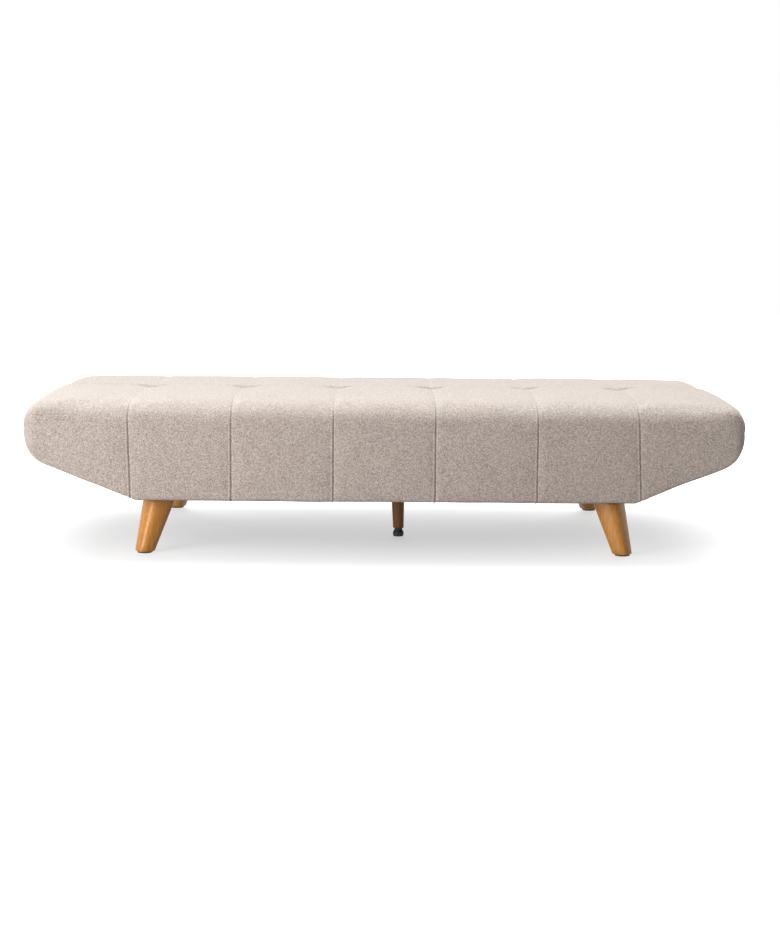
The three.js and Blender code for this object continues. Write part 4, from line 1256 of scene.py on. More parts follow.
    def moves(self, x: Array, out: Array) -> Array:
        """Brings the simulated cloth's moves to the fine stations, without each row's even swelling.

        Args:
            x: the fine stations.
            out: the outward directions there.

        Returns: One move for each point.
        """
        moves = np.zeros_like(out)
        q = self.quilting
        coarse, moved = self.relax()
        length = np.linalg.norm(moved, axis=-1, keepdims=True)
        moved = moved * np.minimum(1.0, self.puff / np.maximum(length, 1e-9)) * self.freedom()[None, :, None]
        reach = np.clip((np.abs(coarse) - q.calm_from) / q.calm_reach, 0.0, 1.0)
        moved *= (1 - q.calm_share * reach)[:, None, None]
        for j, axis in np.ndindex(len(self.rows), 3):
            moves[:, j, axis] = np.interp(x, coarse, moved[:, j, axis])
        rise = (moves * out).sum(-1)[np.abs(x) < q.calm_from].mean(0)
        return moves - out * rise[None, :, None]

    def freedom(self) -> Array:
        """How far each row may follow the simulation: little where the other cushion is close.

        Returns:
            One share for each row.
        """
        seat = self.body is Body.BASE
        wall, shoulder = (Run.WALL_REAR, Run.ROUND_REAR) if seat else (Run.WALL_FRONT, Run.ROUND_FRONT)
        free = np.ones(len(self.rows))
        for j, (run, t) in enumerate(self.rows):
            if run is Run.TOP:
                free[j] = self.top_freedom
            elif run is wall:
                free[j] = self.split_freedom
            elif run is shoulder:
                free[j] = self.split_freedom + (1 - self.split_freedom) * (1 - t if seat else t)
        return free

    def crease_share(self) -> Array:
        """How deep each row's seam is sunk: fully on the walls, less on the top, which is pulled flat.

        Returns:
            One share for each row.
        """
        share = np.ones(len(self.rows))
        for j, (run, t) in enumerate(self.rows):
            up = {Run.ROUND_FRONT: t, Run.TOP: 1.0, Run.ROUND_REAR: 1 - t}.get(run, 0.0)
            share[j] = 1 + (self.top_crease - 1) * up
        return share

    def lean(self, body: Array) -> Array | float:
        """Sideways shift of the end seams, which run a little askew on the seat's front face.

        Args:
            body: the points.

        Returns:
            One shift for each point.
        """
        if self.body is not Body.BASE:
            return 0.0
        q = self.quilting
        shift = np.zeros(body.shape[:-1])
        height = (body[..., 2] - q.clearance) / (q.height - q.clearance)
        for seam, top, foot in q.askew:
            near = np.exp(-(((body[..., 0] - seam) / q.askew_width) ** 2))
            shift += near * (foot + (top - foot) * height)
        return shift * np.clip((self.front + q.askew_depth - body[..., 1]) / q.askew_depth, 0.0, 1.0)

    def folds(self, body: Array) -> Array:
        """Fine folds: upright ones by the right front corner, and short ones by the seams.

        Args:
            body: the points.

        Returns:
            One height for each point.
        """
        q = self.quilting
        x, y, z = np.moveaxis(body, -1, 0)
        window = np.exp(-(((x - q.fold_place[0]) / q.fold_reach[0]) ** 2))
        window *= np.exp(-(((z - q.fold_place[1]) / q.fold_reach[1]) ** 2))
        window *= np.clip((self.front + q.fold_depth - y) / q.fold_depth, 0.0, 1.0)
        upright = q.fold_height * np.sin(2 * math.pi * (x + q.fold_slant_share * z) / q.fold_pitch) * window
        short = ripples(body * np.array([1.0, 3.0, 3.0]), self.seed + 5, *q.gather_waves)
        return upright + q.gather_height * short * np.exp(-((q.seam_gap(x) / q.gather_reach) ** 2))

    def build(self) -> None:
        """Makes the cover, with its thickness, slots, seams and folds, and sews it."""
        q = self.quilting
        x = self.stations(q.fine_spacing, fine=True)
        plain, dip = self.surface(x)
        out = self.normals(plain)
        seamed = np.array([0.0 if run is Run.UNDER else 1.0 for run, _ in self.rows])
        swell = q.swell * ripples(plain, self.seed, *q.swell_waves) + self.folds(plain)
        swell = swell * (self.still_swell + (1 - self.still_swell) * self.freedom())
        body = plain + out * (swell - dip)[..., None] * seamed[:, None] + self.moves(x, out)
        inner = body - out * q.wall
        body = body + out * (q.crease(q.seam_gap(plain[..., 0])) * seamed * self.crease_share())[..., None]
        shift = self.lean(body)
        body[..., 0] += shift
        inner[..., 0] += shift
        faces, grids, total = self.topology(x, self.holes(x))
        outer = self.flatten(body, grids, total)
        self.puff_caps(outer, grids)
        piece, kept = two_layers(self.name, outer, self.flatten(inner, grids, total), faces)
        self.lay_cloth(piece.data, plain, grids, total, kept)
        CLOTH.paint(piece)
        settle(piece, self.body, "upholstery_fabric", self.node)
        self.sew([body[np.abs(x - (seam + q.lap_at)).argmin()] for seam in q.seams])

    def puff_caps(self, outer: Array, grids: dict) -> None:
        """Crowns the two end faces a little.

        Args:
            outer: the outer points, changed in place.
            grids: each cap grid's vertex numbers.
        """
        for station, grid in grids.items():
            a, b = (np.linspace(0, 1, count) for count in grid.shape)
            bulge = self.quilting.end_crown * (16 * np.outer(a * (1 - a), b * (1 - b))) ** 0.6
            side = 1 if station else -1
            outer[grid[1:-1, 1:-1], 0] += side * bulge[1:-1, 1:-1]

    def lay_cloth(self, mesh: bpy.types.Mesh, plain: Array, grids: dict, total: int, kept: Array) -> None:
        """Gives the cover a UV map in metres along the cloth, from distances over the surface.

        The end panels are pieces of cloth of their own, laid out far from the rest of the map.

        Args:
            mesh: the cover's mesh.
            plain: the plain surface's points.
            grids: each cap grid's vertex numbers.
            total: the number of vertices in each layer.
            kept: the mesh's vertices, by their numbers in the outer and then the inner layer.
        """
        along = np.zeros(plain.shape[:2])
        along[1:] = np.cumsum(np.linalg.norm(np.diff(plain, axis=0), axis=-1), axis=0)
        along -= along[plain.shape[0] // 2][None]
        top = (self.corners[1] + self.corners[2]) // 2
        around = np.zeros(plain.shape[:2])
        around[:, 1:] = np.cumsum(np.linalg.norm(np.diff(plain, axis=1), axis=-1), axis=1)
        around -= around[:, top][:, None]
        flat = self.flatten(np.stack([along, around], -1), grids, total)
        side = self.flatten(plain[..., 1:], grids, total) + self.end_panel_offset
        for grid in grids.values():
            flat[grid[1:-1, 1:-1]] = side[grid[1:-1, 1:-1]]
        loops = np.zeros(len(mesh.loops), int)
        mesh.loops.foreach_get("vertex_index", loops)
        under = kept[loops] % total
        uv = flat[under] * MM
        self.join_cloth(mesh, uv, side[under] * MM)
        mesh.uv_layers.new(name="cloth").data.foreach_set("uv", uv.ravel())

    def join_cloth(self, mesh: bpy.types.Mesh, uv: Array, side: Array) -> None:
        """Mends the faces that span two parts of the cloth's map.

        A face that reaches onto an end panel takes the panel's map. A face over the join underneath
        gets a narrow strip of its own.

        Args:
            mesh: the cover's mesh.
            uv: the map at each face corner, changed in place.
            side: each corner's place on the map of the end panels.
        """
        widest_face, strip = 0.5, 0.004
        panels = self.end_panel_offset * MM - 1.0
        for polygon in mesh.polygons:
            span = slice(polygon.loop_start, polygon.loop_start + polygon.loop_total)
            part = uv[span]
            if np.ptp(part, axis=0).max() < widest_face:
                continue
            if part.max() > panels:
                part[:] = side[span]
            else:
                low = part[:, 1] < part[:, 1].max() - widest_face
                part[low, 1] = part[~low, 1].max() + strip

    def sew(self, lines: Sequence[Array]) -> None:
        """Sews a line of stitches beside each seam, from hem to hem over the top.

        Args:
            lines: for each seam, the points of all rows beside it.
        """
        before, after = 2, 3
        order = [j % len(self.rows) for j in range(-before, self.corners[3] + after)]
        piece = grow(self.name.replace("quilted", "stitches"), [line[order] for line in lines], stitch_shape,
                     THREAD, pitch=self.stitch_pitch, stitch_length=self.stitch_length,
                     thread_radius=self.thread_radius)
        settle(piece, self.body, "upholstery_fabric")


# Where the walls' rows meet the beams, the hem and the hinges
HEM = 8.0
HINGE_FOOT = 0.084
BEAM_TOP = HINGE_FOOT + 0.7214
BACK_HINGE_FOOT = 0.866
SEAT_HEM = (Run.UNDER, HEM / (66.0 + 530.0 - 2 * Quilting.lower_edge))
HINGE_SPANS = ((641.2, 661.2), (-661.2, -641.2))
BEAM_SPANS = ((604.5, 647.5), (-647.5, -604.5), (21.0, 60.0))

SEAT_COVER = Cover(
    name="seat_cover_quilted",
    node="seat_cover",
    body=Body.BASE,
    front=-530.0,
    rear=66.0,
    bottom=154.0,
    front_run=118.0,
    front_rise=58.0,
    front_lift=7.0,
    end_share=0.45,
    rear_run=44.0,
    rear_rise=50.0,
    rear_lift=5.5,
    front_draw=0.16,
    top_front_draw=0.1,
    top_rear_draw=0.4,
    rear_draw=0.6,
    split_pull=7.0,
    hem=HEM,
    hem_half=676.0,
    wall_front_rows=tuple(i / 15 for i in range(15)),
    wall_rear_rows=(0.0, 0.042, *(HINGE_FOOT + 0.7214 * i / 10 for i in range(11)), 0.8703, 0.9351),
    top_rows=33,
    slots=(*(Slot(*span, (Run.ROUND_REAR, 0.4), (Run.WALL_REAR, HINGE_FOOT)) for span in HINGE_SPANS),
           *(Slot(*span, (Run.WALL_REAR, BEAM_TOP), SEAT_HEM) for span in BEAM_SPANS)),
    seed=11,
)

BACK_COVER = Cover(
    name="back_cover_quilted",
    node="back_cover",
    body=Body.BACKREST,
    front=74.0,
    rear=530.0,
    bottom=214.0,
    front_run=44.0,
    front_rise=50.0,
    rear_run=90.0,
    rear_rise=48.0,
    front_lift=-0.8,
    rear_lift=-5.0,
    front_draw=0.5,
    top_front_draw=0.4,
    top_rear_draw=0.1,
    rear_draw=0.16,
    hem=HEM,
    hem_half=828.3,
    wall_front_rows=(*(i / 10 * BACK_HINGE_FOOT for i in range(10)), BACK_HINGE_FOOT, 0.933),
    wall_rear_rows=tuple(i / 12 for i in range(12)),
    top_rows=23,
    slots=tuple(Slot(*span, (Run.WALL_FRONT, BACK_HINGE_FOOT), (Run.ROUND_FRONT, 0.6))
                for span in HINGE_SPANS),
    seed=23,
)


# Legs


@dataclass
class TurnedLeg:
    """One tapered leg, round or a rounded square, with its foot's edge eased."""

    name: str
    node: str
    finish: Finish
    top: Vector
    foot: Vector
    top_radius: float
    foot_radius: float
    edge: float
    bands: int
    steps: int
    squareness: float = 2.0
    turn: float = 0.0

    def build(self) -> bpy.types.Object:
        """Makes the leg.

        Returns:
            The leg.
        """
        tall = self.top.z - self.foot.z
        eased = self.edge / tall
        shares = [0.0, 0.3 * eased, *(eased + (1 - eased) * i / self.bands for i in range(self.bands + 1))]
        rings = []
        for share in shares:
            rounded = max(self.edge - share * tall, 0.0)
            radius = self.foot_radius + (self.top_radius - self.foot_radius) * share
            radius -= self.edge - math.sqrt(max(self.edge**2 - rounded**2, 0.0))
            rings.append(level_ring(self.foot.lerp(self.top, share), radius, self.steps, self.squareness,
                                    self.turn))
        leg = mesh_object(self.name, *skin(rings, [self.foot, self.top]))
        self.finish.paint(leg)
        settle(leg, Body.BASE, "leg_wood", self.node)
        return leg


@dataclass
class Legs:
    """Four splayed tapered legs, with their glides."""

    top_radius: float = 42.0
    foot_radius: float = 25.0
    place_x: float = 626.0
    front_y: float = -424.0
    rear_y: float = 321.0
    splay_x: float = 39.0
    splay_y: float = 41.0
    top_z: float = 153.7
    foot_z: float = 4.3
    twist_deg: float = 31.0
    squareness: float = 2.9
    edge: float = 2.6
    glide_radius: float = 21.0
    glide_thickness: float = 4.0

    def build(self) -> None:
        """Makes each leg, flat shaded at both ends, and its glide."""
        r, t = self.glide_radius, self.glide_thickness
        profile = [(0, 0), (r - 1.2, 0), (r - 0.4, 0.4), (r, 1.3), (r, t - 0.4), (r - 0.5, t), (0, t)]
        for row, away, y in (("front_", -1, self.front_y), ("rear_", 1, self.rear_y)):
            for end, side in (("left", -1), ("right", 1)):
                name = row + end
                top = Vector((side * self.place_x, y, self.top_z))
                foot = Vector((side * (self.place_x + self.splay_x), y + away * self.splay_y, self.foot_z))
                turn = math.radians(self.twist_deg) * side * away
                leg = TurnedLeg("leg_" + name + "_turned", "leg_" + name, LEG_WOOD, top, foot,
                                self.top_radius, self.foot_radius, self.edge, bands=12, steps=72,
                                squareness=self.squareness, turn=turn).build()
                for polygon in leg.data.polygons:
                    polygon.use_smooth = polygon.loop_total == 4
                glide = lathe("glide_" + name + "_moulded", profile, (foot.x, foot.y))
                GLIDE_NYLON.paint(glide)
                settle(glide, Body.BASE, "glide_nylon", "leg_glide_" + name)


@dataclass
class CentreLeg:
    """The slim middle leg and its levelling foot."""

    top: tuple[float, float, float] = (40.5, -165.0, 158.7)
    foot: tuple[float, float, float] = (43.5, -165.0, 24.0)
    top_radius: float = 20.5
    foot_radius: float = 15.5
    edge: float = 2.0
    foot_profile: tuple[tuple[float, float], ...] = (
        (0, 0), (13.6, 0), (14.8, 0.8), (15.4, 3.0), (15.9, 7.0), (16.0, 10.0), (15.6, 12.4), (14.4, 14.8),
        (12.9, 17.0), (11.9, 19.0), (11.5, 20.6), (11.5, 23.0), (10.8, 23.7), (4.0, 23.7), (4.0, 57.2),
        (3.2, 58.0), (0, 58.0))

    def build(self) -> None:
        """Makes the leg and the foot."""
        # The support leg's beech is darkened: painted shade for its place under the sofa.
        TurnedLeg("centre_leg_turned", "centre_leg", SHADE_DARKENED_LEG_WOOD, Vector(self.top), Vector(self.foot),
                  self.top_radius, self.foot_radius, self.edge, bands=9, steps=56).build()
        pad = lathe("levelling_foot_moulded", self.foot_profile, self.foot[:2])
        FOOT_BLACK.paint(pad)
        settle(pad, Body.LEVELLING_FOOT, "black_steel", "centre_levelling_foot")


# Foam, cloth, wire and webbing inside


def rounded(face: float, run: float, level: float, rise: float, turn: Array) -> Array:
    """Points of a quarter round from an upright face to a level one."""
    return np.stack([face + run * (1 - np.cos(turn)), level + rise * (1 - np.sin(turn))], 1)


@dataclass
class FoamPad:
    """A slab of cut foam with rounded edges, notched where the hinges pass."""

    name: str
    node: str
    body: Body
    front: float
    rear: float
    front_run: float
    rear_run: float
    notch_front: float
    notch_rear: float
    low: float = 358.7
    high: float = 406.7
    rise: float = 42.0
    lower_edge: float = 4.0
    half_length: float = 971.5
    even_length: float = 940.0
    end_radius: float = 9.0
    sag: float = 1.5
    notch: tuple[float, float] = (641.4, 661.0)
    notch_wall: float = 0.2
    notch_reach: float = 70.0
    fill: float = 0.85

    def section(self, inset: float) -> Array:
        """The pad's outline across the sofa, from its lower front corner and turning up the rear.

        Args:
            inset: how far it is drawn in by the rounding of the pad's end.

        Returns:
            The outline's points, y and z.
        """
        edge = self.lower_edge
        front, rear = self.front + inset, self.rear - inset
        low, high = self.low + inset * 0.6, self.high - inset * 0.6
        rise = min(self.rise, high - low - edge)
        quarter = np.linspace(0, math.pi / 2, 9)
        back = quarter[::-1]
        bottom_y = np.linspace(front + edge, rear - edge, 28)
        bottom = np.stack([bottom_y, np.full_like(bottom_y, low)], 1)
        rear_top = rounded(rear, -self.rear_run, high, -rise, quarter)
        rear_top[:, 1] -= self.sag * np.sin(quarter)
        front_top = rounded(front, self.front_run, high, -rise, back)
        front_top[:, 1] -= self.sag * np.sin(back)
        share = np.linspace(0, 1, 26)[1:-1]
        top_y = rear - self.rear_run + (front + self.front_run - rear + self.rear_run) * share
        top = np.stack([top_y, high - self.sag + self.sag * 4 * share * (1 - share)], 1)
        rear_low = rounded(rear, -edge, low, edge, back[1:])
        front_low = rounded(front, edge, low, edge, quarter[:-1])
        return np.concatenate([bottom, rear_low, rear_top, top, front_top, front_low])

    def notched(self, outline: Array) -> Array:
        """Draws the outline in to leave room for a hinge.

        Args:
            outline: the outline's points.

        Returns:
            The points of the notched outline.
        """
        drawn = outline.copy()
        for notch, face, side in ((self.notch_rear, self.rear, 1), (self.notch_front, self.front, -1)):
            start = notch - side * self.notch_reach
            far = side * (drawn[:, 0] - start) > 0
            drawn[far, 0] = start + (drawn[far, 0] - start) * self.notch_reach / abs(face - start)
        return drawn

    def build(self) -> None:
        """Makes the pad."""
        places = [(x, 0.0, False) for x in np.linspace(-self.even_length, self.even_length, 48)]
        for side in (-1, 1):
            a, b = sorted((side * self.notch[0], side * self.notch[1]))
            places = [place for place in places if not a < place[0] < b]
            places += [(a - self.notch_wall, 0.0, False), (a, 0.0, True), (b, 0.0, True),
                       (b + self.notch_wall, 0.0, False)]
            for turn in np.linspace(0, math.pi / 2, 6):
                x = self.half_length - self.end_radius * (1 - math.sin(turn))
                places.append((side * x, self.end_radius * (1 - math.cos(turn)), False))
        rings = []
        for x, inset, cut in sorted(places):
            outline = self.notched(self.section(inset)) if cut else self.section(inset)
            rings.append(np.column_stack([np.full(len(outline), x), outline]))
        pad = mesh_object(self.name, *skin(rings, [rings[0].mean(0), rings[-1].mean(0)]))
        FOAM.paint(pad)
        settle(pad, self.body, "cushion_foam", self.node)


@dataclass
class UndersideCloth:
    """A black dust cloth stretched and stapled over the hem of a cover, underneath.

    Its square holes are given by their sides, and its round one by its middle and radius.
    """

    name: str
    node: str
    body: Body
    half_x: float
    front: float
    rear: float
    level: float
    holes: tuple[tuple[float, float, float, float], ...] = ()
    round_hole: tuple[float, float, float] | None = None
    round_shares: tuple[float, ...] = (-1.3, -0.8, -0.3, 0.3, 0.8, 1.3)
    thickness: float = 0.5
    sag: float = 2.2
    wrinkle: float = 0.5
    wrinkle_waves: tuple[float, float] = (45.0, 240.0)
    pitch: float = 30.0
    seed: int = 3
    staple_pitch: float = 48.0
    staple_inset: float = 6.5
    staple_length: float = 11.0
    staple_radius: float = 0.6

    def lines(self, low: float, high: float, exact: Sequence[float]) -> Array:
        """Finds places for the grid's lines.

        Args:
            low: the first place.
            high: the last place.
            exact: places that have to be among them.

        Returns:
            The places, rising.
        """
        exact = np.array(sorted({low, high, *exact}))
        plain = np.linspace(low, high, int((high - low) / self.pitch) + 1)
        clear = [p for p in plain if np.abs(exact - p).min() > self.pitch * 0.3]
        return np.sort(np.concatenate([exact, clear]))

    def hung(self, flat: Array) -> Array:
        """Lets the cloth hang.

        Args:
            flat: places on it, x and y.

        Returns:
            The same places with their heights.
        """
        a = (flat[:, 0] + self.half_x) / (2 * self.half_x)
        b = (flat[:, 1] - self.front) / (self.rear - self.front)
        loose = np.clip(16 * a * (1 - a) * b * (1 - b), 0, 1) ** 0.5
        spots = np.column_stack([flat, np.zeros(len(flat))]) * np.array([1.0, 0.5, 1.0])
        wrinkles = self.wrinkle * ripples(spots, self.seed, *self.wrinkle_waves)
        return np.column_stack([flat, self.level - loose * (self.sag + wrinkles)])

    def round_off(self, points: Array, faces: Faces, half: float) -> tuple[Array, Faces]:
        """Fills a square opening down to the round one.

        Args:
            points: the cloth's flat points.
            faces: its faces.
            half: half the square's width.

        Returns:
            The points and the faces, with those between the square and the circle.
        """
        cx, cy, radius = self.round_hole
        from_middle = points - np.array([cx, cy])
        rim = np.flatnonzero(np.abs(np.abs(from_middle).max(1) - half) < TINY)
        angle = np.arctan2(from_middle[rim, 1], from_middle[rim, 0])
        rim, angle = rim[np.argsort(angle)], np.sort(angle)
        circle = np.stack([cx + radius * np.cos(angle), cy + radius * np.sin(angle)], 1)
        start, count = len(points), len(rim)
        added = [(rim[i], start + i, start + (i + 1) % count, rim[(i + 1) % count]) for i in range(count)]
        return np.concatenate([points, circle]), [*faces, *added]

    def build(self) -> None:
        """Makes the cloth as one thin closed sheet, and its staples."""
        openings = list(self.holes)
        xs, ys = [h for hole in self.holes for h in hole[:2]], [h for hole in self.holes for h in hole[2:]]
        width, length = 2 * self.half_x, self.rear - self.front
        area = width * length - sum((b - a) * (d - c) for a, b, c, d in self.holes)
        if self.round_hole:
            cx, cy, radius = self.round_hole
            area -= math.pi * radius**2
            half = radius * self.round_shares[-1]
            openings.append((cx - half, cx + half, cy - half, cy + half))
            xs += [cx + radius * share for share in self.round_shares]
            ys += [cy + radius * share for share in self.round_shares]
        x_lines = self.lines(-self.half_x, self.half_x, xs)
        y_lines = self.lines(self.front, self.rear, ys)
        points = np.stack(np.meshgrid(x_lines, y_lines, indexing="ij"), -1).reshape(-1, 2)
        across = len(y_lines)
        faces = []
        for i, j in np.ndindex(len(x_lines) - 1, across - 1):
            x, y = (x_lines[i] + x_lines[i + 1]) / 2, (y_lines[j] + y_lines[j + 1]) / 2
            if not any(a < x < b and c < y < d for a, b, c, d in openings):
                k = i * across + j
                faces.append((k, k + 1, k + across + 1, k + across))
        if self.round_hole:
            points, faces = self.round_off(points, faces, half)
        low = self.hung(points)
        piece, _ = two_layers(self.name, low, low + np.array([0.0, 0.0, self.thickness]), faces)
        DUST_CLOTH.paint(piece)
        settle(piece, self.body, "underside_cloth", self.node)
        self.staple()

    def staple(self) -> None:
        """Puts staples round the cloth's edge."""
        inset = self.staple_inset
        x, front, rear = self.half_x - inset, self.front + inset, self.rear - inset
        corners = np.array([(-x, front), (x, front), (x, rear), (-x, rear), (-x, front)])
        share = np.linspace(0.02, 0.98, 30)[:, None]
        lines = [self.hung(a * (1 - share) + b * share) for a, b in zip(corners[:-1], corners[1:])]
        staples = grow(self.name.replace("stretched", "staples"), lines, stitch_shape, ZINC,
                       pitch=self.staple_pitch, stitch_length=self.staple_length,
                       thread_radius=self.staple_radius)
        settle(staples, self.body, "zinc_steel")


@dataclass
class Springs:
    """Nine zigzag springs across the seat, two tie wires, and a clip at each spring's end."""

    rows: int = 9
    spacing: float = 190.0
    front: float = -500.4
    rear: float = 36.4
    level: float = 354.3
    wire: float = 2.0
    tie_wire: float = 1.4
    amplitude: float = 20.0
    pitch: float = 60.0
    squareness: float = 0.6
    tie_shares: tuple[float, float] = (0.34, 0.66)
    clip: tuple[float, float, float] = (16.0, 20.0, 1.4)
    clip_overlap: float = 1.0
    spring_steps: int = 200
    tie_steps: int = 60

    def zigzag(self, x: float) -> Array:
        """The path of one spring.

        Args:
            x: its place along the sofa.

        Returns:
            The path's points.
        """
        y = np.linspace(self.front, self.rear, self.spring_steps)
        wave = np.sin(2 * math.pi * (y - self.front) / self.pitch)
        side = np.sign(wave) * np.abs(wave) ** self.squareness
        return np.stack([x + self.amplitude * side, y, np.full_like(y, self.level)], 1)

    def clip_block(self, x: float, y: float) -> tuple[Array, Faces]:
        """A clip over a spring's end.

        Args:
            x: the spring's place along the sofa.
            y: the clip's place across it.

        Returns:
            The points and the faces.
        """
        wide, long, thick = self.clip
        corners = [(-wide / 2, -long / 2), (wide / 2, -long / 2), (wide / 2, long / 2), (-wide / 2, long / 2)]
        low = self.level + self.wire
        return skin([np.array([(x + a, y + b, z) for a, b in corners]) for z in (low, low + thick)])

    def build(self) -> None:
        """Makes the springs, the tie wires and the clips."""
        places = (np.arange(self.rows) - (self.rows - 1) / 2) * self.spacing
        springs = grow("seat_springs_zigzag", [self.zigzag(x) for x in places], wire_shape, SPRING_WIRE,
                       wire_radius=self.wire)
        settle(springs, Body.BASE, "spring_steel", "seat_spring_unit")
        x = np.linspace(places[0] - self.amplitude, places[-1] + self.amplitude, self.tie_steps)
        z = self.level - self.wire - self.tie_wire
        ys = [self.front + (self.rear - self.front) * share for share in self.tie_shares]
        lines = [np.stack([x, np.full_like(x, y), np.full_like(x, z)], 1) for y in ys]
        ties = grow("seat_spring_ties", lines, wire_shape, WEBBING, wire_radius=self.tie_wire)
        settle(ties, Body.BASE, "spring_steel")
        ends = (self.front - self.clip_overlap, self.rear + self.clip_overlap)
        clips = joined("seat_spring_clips", [self.clip_block(x, y) for x in places for y in ends])
        ZINC.paint(clips)
        settle(clips, Body.BASE, "zinc_steel")


@dataclass
class Webbing:
    """Elastic straps over the back frame, woven over and under two straps that run along the sofa."""

    rows: int = 9
    spacing: float = 190.0
    width: float = 60.0
    thickness: float = 1.5
    front: float = 94.0
    rear: float = 510.0
    half_length: float = 962.0
    level: float = 353.7
    step: float = 0.85
    shares: tuple[float, float] = (0.34, 0.66)
    short_steps: int = 60
    long_steps: int = 240

    def strap(self, along: Array, place: float, crossings: Sequence[float], over: int,
              turned: bool) -> tuple[Array, Faces]:
        """A flat strap with rounded edges, which goes over and under the straps it crosses.

        Args:
            along: places along the strap.
            place: its place on the other axis.
            crossings: where it crosses the others.
            over: 1 if it starts over, and -1 if it starts under.
            turned: whether it runs along the sofa and not across it.

        Returns:
            The points and the faces.
        """
        z = np.full_like(along, self.level)
        for k, crossing in enumerate(crossings):
            sign = -over if k % 2 else over
            z += sign * self.step * np.exp(-(((along - crossing) / (self.width * 0.75)) ** 2))
        half, t = self.width / 2, self.thickness / 2
        outline = [(-half + t, -t), (half - t, -t), (half, 0.0), (half - t, t), (-half + t, t), (-half, 0.0)]
        if turned:
            return skin([np.array([(y, place + a, h + b) for a, b in outline]) for y, h in zip(along, z)])
        return skin([np.array([(place - a, y, h + b) for a, b in outline]) for y, h in zip(along, z)])

    def build(self) -> None:
        """Makes the straps."""
        places = (np.arange(self.rows) - (self.rows - 1) / 2) * self.spacing
        crossings = [self.front + (self.rear - self.front) * share for share in self.shares]
        y = np.linspace(self.front, self.rear, self.short_steps)
        x = np.linspace(-self.half_length, self.half_length, self.long_steps)
        parts = [self.strap(y, place, crossings, 1 if i % 2 else -1, False) for i, place in enumerate(places)]
        parts += [self.strap(x, place, places, -1 if k % 2 else 1, True) for k, place in enumerate(crossings)]
        straps = joined("back_webbing_woven", parts)
        WEBBING.paint(straps)
        settle(straps, Body.BACKREST, "webbing_strap", "back_webbing")


@dataclass
class Rests:
    """Rubber rests on the side beams, under the back section."""

    x: float = 626.0
    y: float = 250.0
    low: float = 206.3
    high: float = 214.7
    radius: float = 12.0

    def build(self) -> None:
        """Makes both rests."""
        r, a, b = self.radius, self.low, self.high
        profile = [(0, a), (r - 0.3, a), (r, a + 0.3), (r, a + 3.0), (r - 0.5, b - 1.8), (r - 1.8, b - 0.5),
                   (r - 4, b), (3.0, b), (2.6, b - 0.6), (2.4, b - 1.6), (0, b - 1.6)]
        for side, sign in (("left", -1), ("right", 1)):
            rest = lathe("back_rest_bumper_" + side + "_moulded", profile, (sign * self.x, self.y))
            RUBBER.paint(rest)
            settle(rest, Body.BASE, "bumper_rubber", "back_rest_bumper_" + side)


SEAT_FOAM = FoamPad("seat_foam_slab", "seat_foam_pad", Body.BASE, front=-511.5, rear=47.5, front_run=78.0,
                    rear_run=64.0, notch_front=-600.0, notch_rear=8.5)
BACK_FOAM = FoamPad("back_foam_slab", "back_foam_pad", Body.BACKREST, front=92.5, rear=511.5, front_run=64.0,
                    rear_run=84.0, notch_front=132.5, notch_rear=600.0)
SEAT_UNDERSIDE = UndersideCloth(
    "seat_underside_stretched", "seat_underside_cloth", Body.BASE, half_x=679.0, front=-515.0, rear=51.0,
    level=153.2, holes=((-667.0, -585.0, -465.0, -383.0), (585.0, 667.0, -465.0, -383.0)),
    round_hole=(40.5, -165.0, 21.5))
BACK_UNDERSIDE = UndersideCloth(
    "back_underside_stretched", "back_underside_panel", Body.BACKREST, half_x=831.0, front=89.5, rear=514.5,
    level=213.2, sag=1.2, seed=7)


# CAD nodes that stay, with finishes of their own


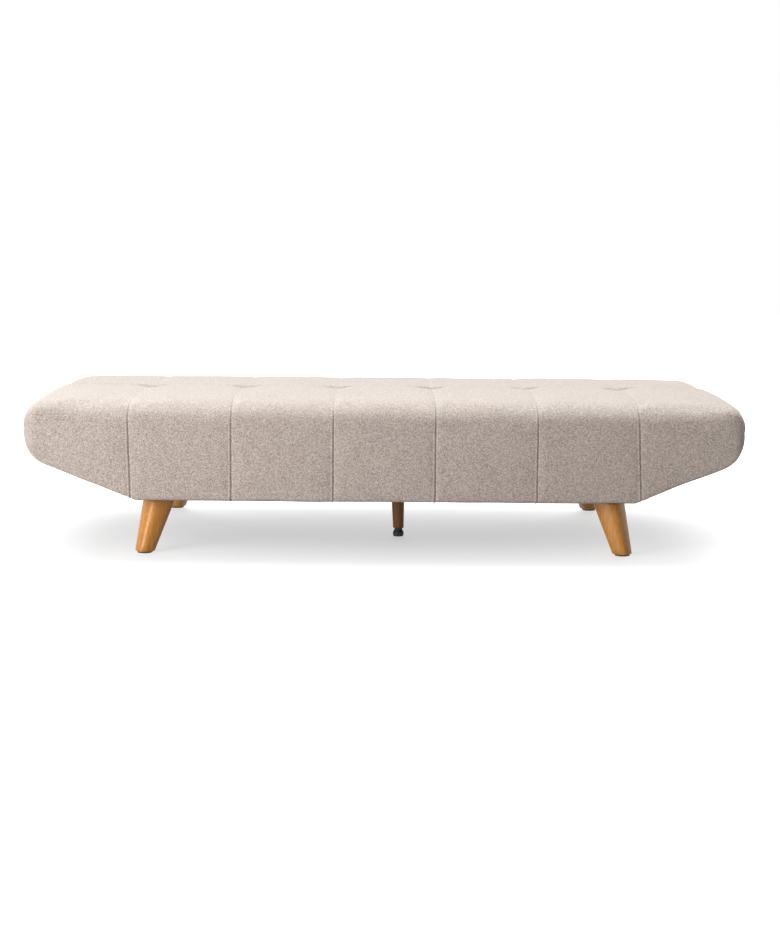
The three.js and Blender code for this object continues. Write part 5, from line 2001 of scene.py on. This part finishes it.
@dataclass
class CarriedNodes:
    """CAD nodes whose shape is right: they get a finish, and softened edges where they have a width."""

    board_edge: float = 1.2
    metal_edge: float = 0.4
    pawl_edge: float = 0.3
    weld: float = 0.01
    sharp_deg: float = 35.0

    def dress(self, name: str, finish: Finish, edge: float) -> None:
        """Softens a node's edges and paints it.

        Args:
            name: the CAD node.
            finish: its finish.
            edge: the width of its softened edges, or 0 for none.
        """
        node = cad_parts[name]
        finish.paint(node)
        if edge:
            node.modifiers.new("weld", "WELD").merge_threshold = self.weld * MM
            bevel = node.modifiers.new("soft_edge", "BEVEL")
            bevel.width = edge * MM
            bevel.segments = 2
            bevel.limit_method = "ANGLE"
            bevel.angle_limit = math.radians(self.sharp_deg)
        LOG.info("dressed %s", name)

    def build(self) -> None:
        """Dresses every node that no other class replaces."""
        one, sides = ("",), ("left", "right")
        corners = ("front_left", "front_right", "rear_left", "rear_right")
        table = (
            (PINE_X, self.board_edge, one, ("seat_front_board", "seat_rear_board", "back_lower_board",
                                            "back_upper_board", "rear_cross_rail")),
            (PINE_X, self.board_edge, sides, ("seat_undercut_board_",)),
            (PINE_Y, self.board_edge, sides, ("side_beam_", "seat_end_rail_", "back_end_rail_",
                                              "back_hinge_rail_")),
            (PINE_Y, self.board_edge, one, ("centre_beam",)),
            (ZINC, self.metal_edge, corners, ("leg_plate_",)),
            (ZINC, 0.0, corners, ("leg_bolt_",)),
            (ZINC, 0.0, one, ("centre_leg_bolt",)),
            (HINGE_COAT, self.metal_edge, sides, ("hinge_seat_arm_", "hinge_back_arm_")),
            (ZINC, self.metal_edge, sides, ("hinge_pivot_", "seat_stud_plate_", "back_stud_plate_")),
            (ZINC, self.pawl_edge, sides, ("hinge_pawl_",)),
            (SPRING_WIRE, 0.0, sides, ("pawl_spring_",)),
        )
        for finish, edge, ends, stems in table:
            for name in (stem + end for stem in stems for end in ends):
                self.dress(name, finish, edge)


def main() -> None:
    """Builds the studio and the sofa bed's sub-assemblies in order."""
    logging.basicConfig(level=logging.INFO, format="%(message)s")
    for part in (Studio(), SEAT_COVER, BACK_COVER, Legs(), CentreLeg(), SEAT_FOAM, BACK_FOAM, SEAT_UNDERSIDE,
                 BACK_UNDERSIDE, Springs(), Webbing(), Rests(), CarriedNodes()):
        part.build()
        LOG.info("finished %s", type(part).__name__)


if __name__ == "__main__":
    main()
